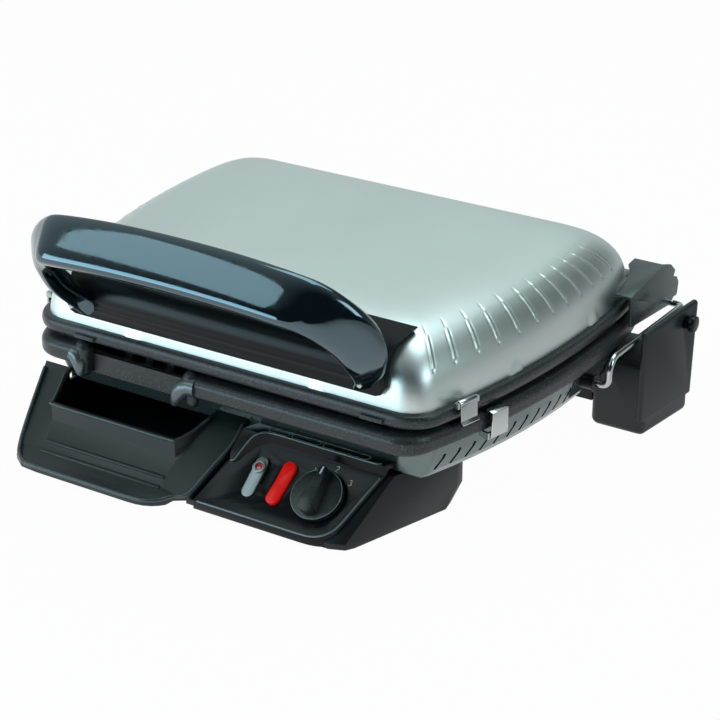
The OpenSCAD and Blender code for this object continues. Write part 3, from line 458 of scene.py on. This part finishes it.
def wrapped_grid(name, around, along, place, closed=True):
    """A grid whose points, which start from -1 to 1, are carried to place(i, k)."""
    deselect()
    bpy.ops.mesh.primitive_grid_add(x_subdivisions=around, y_subdivisions=along, size=2)
    piece = bpy.context.object
    piece.name = name
    for vertex in piece.data.vertices:
        i = round((vertex.co.x + 1) / 2 * around)
        k = round((vertex.co.y + 1) / 2 * along)
        vertex.co = place(i % around if closed else i, k)
    bpy.ops.object.mode_set(mode="EDIT")
    bpy.ops.mesh.select_all(action="SELECT")
    bpy.ops.mesh.remove_doubles(threshold=MERGE)
    bpy.ops.mesh.normals_make_consistent(inside=False)
    bpy.ops.object.mode_set(mode="OBJECT")
    return piece


def dress(piece, body, slot, angle, replaces=()):
    """Gives a piece its finish, smooth faces, a body to ride on and the CAD nodes it stands for."""
    piece.data.materials.clear()
    piece.data.materials.append(LOOKS[slot])
    deselect()
    piece.select_set(True)
    bpy.context.view_layer.objects.active = piece
    bpy.ops.object.shade_smooth_by_angle(angle=math.radians(angle))
    piece.select_set(False)
    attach(piece, body)
    if replaces:
        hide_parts(*replaces)
    return piece


body_of = {n: b for b, ns in frame["record"]["behaviour"]["bodies"].items() for n in ns}


# %% [markdown]
# ## Ease the edges of the carried-over parts
# A moulding or a stamping never has a knife edge: a small radius catches the light and draws each
# part. Radii could be cut in the CAD model, but a bevel here is quick and can be tuned by looking.
# A copy of each CAD mesh is merged, its flat triangles are joined into whole faces, and its sharp
# edges get a small bevel. The copy then stands for the CAD node.


# %% Eased copies of the CAD nodes
COPY_MERGE = 0.00001                             # metres
FLAT, SHARP = 0.5, 32                            # degrees


def eased(name, width):
    """A copy of a CAD node with whole faces and bevelled edges."""
    deselect()
    mesh = node[name].data.copy()
    piece = bpy.data.objects.new(name + "_skin", mesh)
    bpy.context.scene.collection.objects.link(piece)
    piece.select_set(True)
    bpy.context.view_layer.objects.active = piece
    bpy.ops.object.mode_set(mode="EDIT")
    bpy.ops.mesh.select_all(action="SELECT")
    bpy.ops.mesh.remove_doubles(threshold=COPY_MERGE)
    bpy.ops.mesh.dissolve_limited(angle_limit=math.radians(FLAT))
    bpy.ops.object.mode_set(mode="OBJECT")
    if width:
        bevel = piece.modifiers.new("bevel", "BEVEL")
        bevel.width = width * MM
        bevel.segments = 2
        bevel.limit_method = "ANGLE"
        bevel.angle_limit = math.radians(SHARP)
        bevel.use_clamp_overlap = True
        bpy.ops.object.modifier_apply(modifier=bevel.name)
    return dress(piece, body_of[name], slot_of[name], angle=SHARP, replaces=[name])


# the width of each part's bevel in millimetres
EASED = {
    "base_housing": 1.6, "control_panel": 0.8, "drip_tray": 1.5, "rear_leg_left": 0.8,
    "rear_leg_right": 0.8, "rear_bridge": 0.8, "lid_arm_left": 0.6, "lid_arm_right": 0.6,
    "arm_cover_left": 0.5, "arm_cover_right": 0.5, "handle_mount": 0.9, "lower_bowl": 0,
    "lower_plate": 0.5, "upper_plate": 0.5, "indicator_plate": 0.35, "rocker_switch": 0.7,
    "thermostat_knob": 0.3, "base_cover": 0.3, "front_feet": 0.4, "rear_feet": 0.6,
    "leg_pins": 0.4, "upper_clip_left": 0.15, "upper_clip_right": 0.15, "lower_clip_left": 0.15,
    "lower_clip_right": 0.15, "bail_wire": 0, "cord_gland": 0.4, "terminal_block": 0.4,
    "hinge_bushes": 0.2, "bail_bushes": 0.2, "lower_reflector": 0, "upper_reflector": 0,
    "lid_frame": 0, "indicator_lens": 0.3,
}
for name, width in EASED.items():
    skin = eased(name, width)
    if name in OWN_LOOK:
        skin.data.materials[0] = OWN_LOOK[name]
print("eased", len(EASED))

# %% [markdown]
# ## The outlines
# The lid and the rims of the plates share one kind of outline: a straight front, rounded front
# corners, bowed sides that widen to the rear and rounded rear corners. A handful of points would
# leave flats, so it is drawn with Bezier curves and then walked at an even pace.


# %% Outline of the lid and of the lower rim
CORNER_STEPS, SIDE_STEPS = 40, 60


def bezier(a, b, c, d, count, first):
    """Points of the curve from a to d, which b and c pull."""
    out = []
    for i in range(first, count + 1):
        t = i / count
        u = 1 - t
        out.append(tuple(u ** 3 * a[k] + 3 * u * u * t * b[k] + 3 * u * t * t * c[k]
                         + t ** 3 * d[k] for k in (0, 1)))
    return out


def outline(front, corner, widest, rear):
    """The closed line through four places of its right half. The shares below set how far each
    curve is pulled towards its corner."""
    (fw, fy), (cx, cy), (sw, sy), (rw, ry) = front, corner, widest, rear
    right = [(0, fy)]
    right += bezier((fw, fy), (fw + (cx - fw) * 0.53, fy),
                    (cx - (cx - fw) * 0.15, fy + (cy - fy) * 0.35), (cx, cy), CORNER_STEPS, 0)
    right += bezier((cx, cy), (cx + (sw - cx) * 0.3, cy + (sy - cy) * 0.15),
                    (sw, cy + (sy - cy) * 0.52), (sw, sy), SIDE_STEPS, 1)
    right += bezier((sw, sy), (sw, sy + (ry - sy) * 0.8), (sw - (sw - rw) * 0.19, ry), (rw, ry),
                    SIDE_STEPS, 1)
    right.append((0, ry))
    return right + [(-x, y) for x, y in reversed(right[1:-1])]


LID_HALF, LID_DEPTH = 153.0, 231.0
lid_outline = outline((113, 0), (131.7, 13), (LID_HALF, 160), (124, LID_DEPTH))
rim_outline = outline((113, -8), (134, 8), (160, 160), (124, LID_DEPTH + 3))
print("outlines", len(lid_outline), len(rim_outline))


# %% Walk and grow an outline
def walked(points, count):
    """The same closed line as evenly spaced points from the middle of the front, and its length."""
    ends = points[1:] + points[:1]
    lengths = [math.dist(p, q) for p, q in zip(points, ends)]
    total = sum(lengths)
    out, edge, gone = [], 0, 0.0
    for i in range(count):
        goal = total * i / count
        while gone + lengths[edge] < goal:
            gone += lengths[edge]
            edge += 1
        t = (goal - gone) / lengths[edge]
        out.append(tuple(points[edge][k] * (1 - t) + ends[edge][k] * t for k in (0, 1)))
    return out, total


def grown(points, by):
    """The same closed line moved outwards."""
    n = len(points)
    out = []
    for i, p in enumerate(points):
        tx = points[(i + 1) % n][0] - points[i - 1][0]
        ty = points[(i + 1) % n][1] - points[i - 1][1]
        size = math.hypot(tx, ty)
        out.append((p[0] + by * ty / size, p[1] - by * tx / size))
    return out


def outwards(points):
    """The unit normal at each point of a closed line."""
    return [(b[0] - a[0], b[1] - a[1]) for a, b in zip(points, grown(points, 1.0))]


ACROSS = 1400                                    # points round the lid
lid_points, lid_length = walked(lid_outline, ACROSS)
lid_normals = outwards(lid_points)
print("lid's outline", round(lid_length, 1), "mm")

# %% [markdown]
# ## The pressed lid
# The lid is drawn from one sheet of satin steel. Its sides lean in and roll over a soft shoulder
# into an almost flat crown. Twelve short beads stiffen each side: each starts with a small dimple
# on top, runs over the shoulder and ends in a dimple on the side. Shallow half-moon crimps on the
# lower edge hold the frame inside. They could be separate pieces laid on the sheet, but real ones
# are part of it, so all of them are pressed into one grid here.

# %% Lid profile
LID_Z, SHEET = 82.0, 1.2                         # the lid's lower edge and its sheet's thickness
PROFILE = [(0, 0), (0.8, 6), (2, 12), (3.8, 17.5), (6.5, 22.5), (10.5, 27.5), (15.5, 31.8),
           (21.5, 35.2)]                         # how far in and how high
CROWN = [(0.93, 37.9), (0.8, 39.7), (0.55, 40.6), (0.0, 41.0)]
SHOULDER = PROFILE[-1][0]
# each ring is the outline's share sideways, its share in depth and a height
rings = [(1 - d / LID_HALF, 1 - 2 * d / LID_DEPTH, h) for d, h in PROFILE]
rings += [((1 - SHOULDER / LID_HALF) * c, (1 - 2 * SHOULDER / LID_DEPTH) * c, h) for c, h in CROWN]


def curve(a, b, c, d, f):
    """The value between b and c on the soft curve through four values."""
    return 0.5 * (2 * b + (c - a) * f + (2 * a - 5 * b + 4 * c - d) * f * f
                  + (3 * b - a - 3 * c + d) * f ** 3)


def smooth_path(points, t):
    """A point on the soft curve through a list of points, with t from 0 to the last index."""
    i = min(int(t), len(points) - 2)
    p1, p2 = points[i], points[i + 1]
    p0 = points[i - 1] if i else [2 * a - b for a, b in zip(p1, p2)]
    p3 = points[i + 2] if i + 2 < len(points) else [2 * b - a for a, b in zip(p1, p2)]
    return [curve(a, b, c, d, t - i) for a, b, c, d in zip(p0, p1, p2, p3)]


print("rings of the lid", len(rings))

# %% Where the beads and crimps are
BEAD_Y = [197, 182.5, 168, 152.5, 136.5, 120, 103, 84.5, 66, 48, 30, 13]
CRIMPS = [(147, 77), (153, 160), (-147, 77), (-153, 160), (-62, 0), (65, 0), (-60, LID_DEPTH),
          (60, LID_DEPTH)]
SIDE_X, NOT_SIDE = 120, 99                       # points nearer the middle are passed over
spacing = lid_length / ACROSS


def nearest_index(y):
    """The point of the lid's right side at a depth."""
    return min(range(ACROSS // 2),
               key=lambda i: abs(lid_points[i][1] - y) + (0 if lid_points[i][0] > SIDE_X else NOT_SIDE))


bead_at = [nearest_index(y) for y in BEAD_Y]
crimp_at = [min(range(ACROSS), key=lambda i: math.dist(lid_points[i], q)) for q in CRIMPS]
print("beads", 2 * len(bead_at), "crimps", len(crimp_at))

# %% The shape of a bead and of a crimp
BEAD_STEPS, BEAD_REACH = (3.3, 7.2), 2.6         # steps of the profile; millimetres sideways
BEAD_FROM, FADE_IN, BEAD_TO, FADE_OUT = 3.6, 0.5, 6.75, 0.9
BEAD_HALF, BEAD_HIGH = 1.6, 0.26
FLANK_HALF, FLANK_DEEP = 1.0, 0.17
TIPS, TIP_RADIUS, TIP_DEEP, TIP_STEP = (3.55, 6.85), 1.3, 0.6, 5.5
CRIMP_REACH, CRIMP_HALF, CRIMP_HIGH = 8, 7.0, 5.0
CRIMP_DEEP, CRIMP_EDGE, CRIMP_STEP = 0.9, 2.2, 6


def soft(x):
    """0 below 0, 1 above 1, and a soft rise between."""
    x = max(0.0, min(1.0, x))
    return x * x * (3 - 2 * x)


def pressed(i, t):
    """How far the sheet is pushed out at a point of the outline and a step of the profile."""
    out = 0.0
    for middle in bead_at:
        for k in (middle, ACROSS - middle):
            off = abs(i - k) * spacing
            if off < BEAD_REACH and BEAD_STEPS[0] < t < BEAD_STEPS[1]:
                ends = soft((t - BEAD_FROM) / FADE_IN) * soft((BEAD_TO - t) / FADE_OUT)
                out += (BEAD_HIGH * ends * soft(1 - off / BEAD_HALF)
                        - FLANK_DEEP * ends * soft(1 - abs(off - BEAD_HALF) / FLANK_HALF))
                for tip in TIPS:
                    out -= TIP_DEEP * soft(1 - math.hypot(off, (t - tip) * TIP_STEP) / TIP_RADIUS)
    for k in crimp_at:
        off = min(abs(i - k), ACROSS - abs(i - k)) * spacing
        if off < CRIMP_REACH:
            away = math.hypot(off / CRIMP_HALF, t * CRIMP_STEP / CRIMP_HIGH)
            out += CRIMP_DEEP * soft((1 - away) * CRIMP_EDGE)
    return out


print("a bead's height", round(pressed(bead_at[0], 5), 2), "mm")

# %% The lid's skin
STEPS = ([0, 0.5, 1, 1.5, 2, 2.5] + [2.5 + 0.15 * i for i in range(1, 30)]
         + [7.2, 7.6, 8, 8.6, 9.2, 10, 11])      # up the outside; the beads need fine ones
INSIDE_STEPS = [9.6, 9.0, 6.0, 4.5, 3.0, 1.5, 0.0]
NOT_PRESSED = 7.3                                # above this step the sheet is smooth
HALF_STEP = 0.05
MIDDLE = LID_DEPTH / 2


def inside_place(i, k):
    """A point of the lid's inner face, which stays smooth."""
    x, y = lid_points[i]
    sx, sy, h = smooth_path(rings, INSIDE_STEPS[k]) if k else (0, 0, rings[-1][2])
    return at(x * sx * (1 - SHEET / LID_HALF),
              MIDDLE + (y - MIDDLE) * sy * (1 - SHEET / LID_DEPTH * 2), LID_Z + max(0.0, h - SHEET))


def outside_place(i, t):
    """A point of the outer face, pushed out square to the sheet by its beads and crimps."""
    x, y = lid_points[i]
    nx, ny = lid_normals[i]
    sx, sy, h = smooth_path(rings, t)
    sx0, sy0, h0 = smooth_path(rings, max(0, t - HALF_STEP))
    sx1, sy1, h1 = smooth_path(rings, min(len(rings) - 1, t + HALF_STEP))
    run = math.hypot(x * (sx1 - sx0), (y - MIDDLE) * (sy1 - sy0)) or 1e-6
    lift = h1 - h0
    size = math.hypot(run, lift)
    push = pressed(i, t) if t < NOT_PRESSED else 0.0
    return at(x * sx + nx * push * lift / size, MIDDLE + (y - MIDDLE) * sy + ny * push * lift / size,
              LID_Z + h + push * run / size)


def lid_place(i, k):
    if k < len(INSIDE_STEPS):
        return inside_place(i, k)
    return outside_place(i, STEPS[k - len(INSIDE_STEPS)])


lid_skin = wrapped_grid("pressed_lid", ACROSS, len(INSIDE_STEPS) + len(STEPS) - 1, lid_place)
dress(lid_skin, "lid", "lid_steel", angle=60, replaces=["lid_shell"])
print("lid faces", len(lid_skin.data.polygons))

# %% [markdown]
# ## The handle
# The handle is one polished moulding: a broad blade across the front that bows back and narrows
# into two feet on the mount plate. A bevelled curve would keep one section all along, and this one
# turns and tapers. So its section, a soft-cornered oval, is carried between two smooth lines
# through the same stations as the CAD handle.

# %% Handle
UPPER = [(0, -36, 88), (40, -35.6, 87), (75, -34, 83.5), (91, -29, 78.2), (105.5, -22, 67),
         (112.8, -15, 54.8), (114.6, -10.5, 43.6), (111.5, -5, 30.2), (105, -1, 20)]
LOWER = [(0, -55, 64.5), (40, -54.6, 63.6), (75, -53, 61), (83.5, -48, 57.4), (90, -40, 50.5),
         (94, -31, 41.5), (95.5, -21, 30), (93, -9.5, 19.5), (88, -1.2, 12)]
THICK = 6.5                                      # half of the blade's thickness
ROUND, LONG = 56, 128
SOFT_WIDE, SOFT_THICK = 0.7, 0.6                 # below 1, an oval fills its corners
LOOK_AHEAD = 0.2


def both_sides(half):
    """The stations of the right half and their mirror, from the left foot to the right one."""
    return ([(-x, y, z + LID_Z) for x, y, z in reversed(half[1:])]
            + [(x, y, z + LID_Z) for x, y, z in half])


upper_line, lower_line = both_sides(UPPER), both_sides(LOWER)
LAST = len(upper_line) - 1


def edges_at(t):
    """The blade's upper and lower edge at a station."""
    return Vector(smooth_path(upper_line, t)), Vector(smooth_path(lower_line, t))


def power(value, n):
    """A power that keeps the sign."""
    return math.copysign(abs(value) ** n, value)


def handle_place(i, k):
    if k in (0, LONG + 2):
        a, b = edges_at(0 if k == 0 else LAST)
        return at(*((a + b) / 2))
    t = (k - 1) / LONG * LAST
    a, b = edges_at(t)
    a0, b0 = edges_at(max(0, t - LOOK_AHEAD))
    a1, b1 = edges_at(min(LAST, t + LOOK_AHEAD))
    half = (a - b) / 2
    thick = (a1 + b1 - a0 - b0).cross(half).normalized() * THICK
    angle = 2 * math.pi * i / ROUND
    return at(*((a + b) / 2 + half * power(math.cos(angle), SOFT_WIDE)
                + thick * power(math.sin(angle), SOFT_THICK)))


handle_skin = wrapped_grid("grip_handle", ROUND, LONG + 2, handle_place)
dress(handle_skin, "lid", "handle_black", angle=50, replaces=["handle"])
print("handle", [round(v, 3) for v in handle_skin.dimensions])

# %% [markdown]
# ## The rims of the cooking plates
# Each cast plate ends in a rounded rim. The CAD rim has flat steps along its curve, which a
# reflection would show. It could be bevelled, but the steps would stay, so a fine skin is laid over
# it, a little proud. The upper one runs all the way round, and the lower one stops at the spout.


# %% Rim skins
RIM_POINTS = 900
SECTION_STEPS = 4


def rim_skin(name, line, section, body, start=0.0, stop=1.0):
    """A section carried along an outline, between two shares of its length."""
    points, total = walked(line, RIM_POINTS)
    normals = outwards(points)
    first, last = int(start * RIM_POINTS), int(stop * RIM_POINTS)
    whole = stop - start >= 1.0
    number = RIM_POINTS if whole else last - first

    def place(i, k):
        # the grid's long way goes along the rim, and its short way round the section
        j = (first + i) % RIM_POINTS
        off, z = section[k % len(section)]
        return at(points[j][0] + normals[j][0] * off, points[j][1] + normals[j][1] * off, z)

    piece = wrapped_grid(name, number, len(section), place, closed=whole)
    dress(piece, body, "nonstick", angle=50)
    return total


def round_section(points):
    """A closed section with its corners rounded off, from how far out and how high they are."""
    out = []
    n = len(points)
    for i in range(n):
        four = points[i - 1], points[i], points[(i + 1) % n], points[(i + 2) % n]
        for s in range(SECTION_STEPS):
            out.append(tuple(curve(a, b, c, d, s / SECTION_STEPS) for a, b, c, d in zip(*four)))
    return out


# %% The upper rim
UP_LOW = LID_Z - 8                               # where the upper rim ends below
upper_section = round_section([
    (-6, UP_LOW + 1.5), (1.8, UP_LOW - 0.2), (4.2, UP_LOW + 0.8), (5.0, UP_LOW + 4),
    (4.4, LID_Z - 1.2), (3.0, LID_Z - 0.2), (-2, LID_Z - 0.25), (-6, LID_Z - 2)])
upper_length = rim_skin("upper_rim", lid_outline, upper_section, "lid")
print("upper rim", round(upper_length), "mm round, lower edge at", UP_LOW)

# %% The lower rim
LOW_TOP = UP_LOW - 3.4                           # a gap stays open between the rims
LOW_LOW = LOW_TOP - 11.5
SPOUT_FROM, SPOUT_TO = 19, 97                    # along the front from its middle to the left
lower_section = round_section([
    (-3.8, LOW_LOW + 0.6), (-1.6, LOW_LOW - 0.15), (0.1, LOW_LOW + 1.5), (0.3, LOW_LOW + 5),
    (0.1, LOW_TOP - 3.4), (-1.6, LOW_TOP - 0.8), (-4.8, LOW_TOP + 0.15), (-9, LOW_TOP + 0.15),
    (-9, LOW_TOP - 2.6), (-4.6, LOW_TOP - 3.6)])
rim_length = walked(rim_outline, RIM_POINTS)[1]
spout_starts, spout_ends = [(RIM_POINTS - way / rim_length * RIM_POINTS) / RIM_POINTS
                            for way in (SPOUT_FROM, SPOUT_TO)]
rim_skin("lower_rim", rim_outline, lower_section, "base", spout_starts - 1.0, spout_ends)
print("lower rim", round(rim_length), "mm round, lower edge at", round(LOW_LOW, 1))

# %% [markdown]
# ## Sections swept along a line
# Thin beads, printed strokes and the horns of the spout are all one kind of form, a round or flat
# section carried along a line. A curve object with a bevel could do it, but its ends and its roll
# are harder to steer, so the same wrapped grid is used.


# %% A section swept along a line
def swept(name, line, radius, body, slot, look, flat=1.0, up=(0, 0, 1), loop=False, around=10):
    """A round section, or a flat one, along a line. Its radius is one number or one a point."""
    n = len(line)
    up = Vector(up).normalized()

    def place(i, k):
        # the first and the last ring of an open line shrink to a point
        j = k % n if loop else min(max(k - 1, 0), n - 1)
        ahead = line[(j + 1) % n] if loop or j < n - 1 else line[j]
        behind = line[j - 1] if loop or j > 0 else line[j]
        way = ahead - behind
        side = way.cross(up).normalized()
        rise = side.cross(way).normalized()
        size = radius[j] if isinstance(radius, list) else radius
        if not loop and k in (0, n + 1):
            size = 0
        angle = 2 * math.pi * i / around
        return line[j] + (side * math.cos(angle) + rise * math.sin(angle) * flat) * size * MM

    piece = wrapped_grid(name, around, n if loop else n + 1, place)
    dress(piece, body, slot, angle=60)
    piece.data.materials[0] = look


def drawn(points, fine=8):
    """A smooth line through places given in millimetres."""
    return [at(*smooth_path(points, i / fine)) for i in range((len(points) - 1) * fine + 1)]


# %% [markdown]
# ## The edges of the control panel
# The sloped panel is framed by an edge that catches the light: it sweeps up on the left and runs
# along the ledge, and a lower border runs along the foot and climbs on the right. A bevel on the
# panel alone is too narrow to show, so thin beads are laid along both. Their colour is paler than
# the panel's, which paints the highlight along these edges.

# %% Panel edges
LEDGE = 42.4                                     # the height of the ledge that ends the slope
FOOT_Y, FOOT_Z = -29.6, 7.8                      # the foot of the slope
sweep = [(10.2, -7.2, 26.4), (12.5, -6.6, 27.6), (15.5, -2.7, 33.3), (19.5, 1.5, 39.8),
         (24, 4.7, 42.3), (30, 6.9, LEDGE), (50, 7.0, LEDGE), (75, 7.0, LEDGE), (96, 7.0, LEDGE),
         (101, 8.4, LEDGE)]
# both beads carry a painted highlight in a paler colour than the panel
swept("panel_sweep", drawn(sweep), radius=0.55, body="base", slot="panel_black",
      look=HIGHLIGHT_EDGE_LOOK)
border = [(2, FOOT_Y, 7.9), (36, FOOT_Y, 7.9), (70, FOOT_Y, 7.9), (80, -28.8, 8.5),
          (87, -25.8, 10.9), (91.4, -20.6, 14.9), (96.5, -7.5, 25.1), (101.6, 5.5, 35.2)]
swept("panel_border", drawn(border), radius=0.6, body="base", slot="panel_black",
      look=HIGHLIGHT_EDGE_LOOK)
print("stations of the panel's edges", len(sweep), len(border))

# %% [markdown]
# ## The lips of the drip tray
# The tray is a moulding with a rolled lip that catches the light more than its sides, and a second
# brim round its basin. Both could be bevels of the tray, but they are rounder and smoother than the
# rest, so each is a bead along the edge that follows the tray's slope. Both beads are paler than the
# tray, which paints the highlight along them.


# %% Lips of the drip tray
SLOPE = 0.7813                                   # the rise of the tray's edge beside the panel
TRAY_FRONT_Y, TRAY_FRONT_Z, TRAY_RISE = -46, 5.4, 0.13


def tray_top(y):
    """The height of the tray's edge: as steep as the panel behind, and almost flat in front."""
    return FOOT_Z + SLOPE * (y - FOOT_Y) if y > FOOT_Y else TRAY_FRONT_Z + TRAY_RISE * (y - TRAY_FRONT_Y)


# a paler finish, which paints the highlight on the tray's lip and brim
LIP_HIGHLIGHT_LOOK = finish("tray_lip", (0.065, 0.088, 0.092), 0.27, metal=0.2, grain=2400, depth=0.2,
                  coat=0.2)
PROUD = 0.1                                      # how far the lip's middle stands over the edge
lip = [(-139.2, 11), (-135.4, -4), (-131.6, -18), (-128.2, -28), (-122.4, -36.4), (-114.2, -42.2),
       (-103, -43.3), (-70, -43.4), (-36, -43.3), (-25.5, -41.8), (-18.4, -37.8), (-13.4, -31.6),
       (-5.4, -27.4), (0.2, -13.6), (5.8, 0.6), (6.3, 11)]
lip_line = drawn([(x, y, tray_top(y) + PROUD) for x, y in lip])
swept("tray_lip", lip_line, radius=1.3, body="tray", slot="tray_black", look=LIP_HIGHLIGHT_LOOK, around=14)
brim = [(-122.6, 9.5, 40.0), (-119, -2, 34.2), (-116, -10.4, 31.8), (-112.5, -13.2, 31.1),
        (-70, -13.3, 31.1), (-30, -13.2, 31.1), (-24.6, -11.4, 31.6), (-20, -2.4, 33.9),
        (-15.2, 8, 39.2)]
swept("basin_brim", drawn(brim), radius=0.9, body="tray", slot="tray_black", look=LIP_HIGHLIGHT_LOOK,
      around=14)
print("stations of the tray's lips", len(lip), len(brim))

# %% [markdown]
# ## The dial's digits and the knob's ring
# The dial has three printed digits, and the knob shows a thin highlight round its foot. A printed
# picture would need its own map, and Blender's text its own font, while a few strokes say the same.
# Each digit is one flat stroke on the slope, and the ring is a thin bead round the knob, whose pale
# colour paints that highlight.

# %% Digits and ring
TILT = math.radians(38)
SLOPE_UP = (0, -math.sin(TILT), math.cos(TILT))
# each digit's place on the slope, and its stroke in shares of its height
DIGITS = {
    "one": ((62.1, 38.2), [(-0.16, 0.30), (0.05, 0.5), (0.05, -0.5)]),
    "two": ((75.0, 42.6), [(-0.28, 0.28), (-0.18, 0.46), (0.04, 0.5), (0.24, 0.4), (0.26, 0.2),
                           (0.1, -0.08), (-0.3, -0.5), (0.3, -0.5)]),
    "three": ((86.2, 36.9), [(-0.26, 0.42), (0, 0.5), (0.22, 0.4), (0.2, 0.16), (0, 0.04),
                             (0.24, -0.1), (0.27, -0.34), (0.04, -0.5), (-0.28, -0.42)]),
}
DIGIT_HIGH, DIGIT_LIFT = 3.2, 0.03
KNOB_X, KNOB_S, RING_RADIUS, RING_LIFT = 71.5, 24, 15.1, 2.85


def on_slope(x, s, lift):
    """A place on the panel: sideways, up the slope and lifted off it, in millimetres."""
    return at(x, FOOT_Y + s * math.cos(TILT) - lift * math.sin(TILT),
              FOOT_Z + s * math.sin(TILT) + lift * math.cos(TILT))


for name, ((x, s), strokes) in DIGITS.items():
    line = [on_slope(x + DIGIT_HIGH * u, s + DIGIT_HIGH * v, DIGIT_LIFT) for u, v in strokes]
    swept("digit_" + name, line, radius=0.24, body="base", slot="white", look=LOOKS["white"],
          flat=0.3, up=SLOPE_UP)
ring = [on_slope(KNOB_X + RING_RADIUS * math.cos(math.radians(a)),
                 KNOB_S + RING_RADIUS * math.sin(math.radians(a)), RING_LIFT)
        for a in range(0, 360, 6)]
# the ring's pale finish paints the knob's highlight
swept("knob_ring", ring, radius=0.38, body="knob", slot="housing", look=HIGHLIGHT_EDGE_LOOK, up=SLOPE_UP,
      loop=True)
print("digits", len(DIGITS), "points of the ring", len(ring))

# %% [markdown]
# ## The frames on the ledge
# Three long frames with round ends are printed on the ledge. Each is a flat stroke round a closed
# line, which stays crisp at any distance, as a printed picture would not.

# %% Printed frames
FRAMES = [(25, 38.5), (40.5, 59.5), (61.5, 92)]  # the left and the right end of each
FRAME_Y, FRAME_HALF, FRAME_LIFT, FRAME_POINTS = 10.7, 2.3, 0.05, 48
for number, (x0, x1) in enumerate(FRAMES):
    line = []
    for i in range(FRAME_POINTS):
        angle = 2 * math.pi * i / FRAME_POINTS
        end = x1 - FRAME_HALF if math.cos(angle) >= 0 else x0 + FRAME_HALF
        line.append(at(end + FRAME_HALF * math.cos(angle), FRAME_Y + FRAME_HALF * math.sin(angle),
                       LEDGE + FRAME_LIFT))
    swept("print_frame_" + str(number), line, radius=0.26, body="base", slot="panel_black",
          look=PRINT_LOOK, flat=0.3, loop=True)
print("frames", len(FRAMES))

# %% [markdown]
# ## The horns beside the spout
# The lower rim ends on both sides of the spout in a horn that curls down and thins out. The CAD
# model has plainer ones. A sculpted mesh could follow the casting closely, but a swept section
# whose radius shrinks along the line gives the same curl and stays smooth. The horns are paler
# than the rim's coating, which paints their highlight.


# %% Horns beside the spout
def horn(name, places, root, thinning):
    """A horn from its stations, its radius at the root and how much that shrinks to the tip."""
    line = drawn(places, fine=6)
    radii = [root - thinning * (i / (len(line) - 1)) ** 2 for i in range(len(line))]
    swept(name, line, radii, body="base", slot="nonstick", look=HORN_HIGHLIGHT_LOOK, up=(0, 1, 0), around=24)


horn("horn_right", [(-14, -4.2, 64.4), (-18.5, -4.6, 64.2), (-22.5, -5.6, 62.4), (-25.3, -6.6, 58.8),
                    (-27, -7.2, 54.8), (-28, -7.5, 51.6)], root=6.0, thinning=4.0)
horn("horn_left", [(-102.5, -4.0, 64.6), (-100.3, -4.6, 63.4), (-98.4, -5.6, 60.2),
                   (-97.2, -6.4, 56.4), (-96.6, -6.8, 52.6)], root=5.4, thinning=3.4)
print("horns", 2)
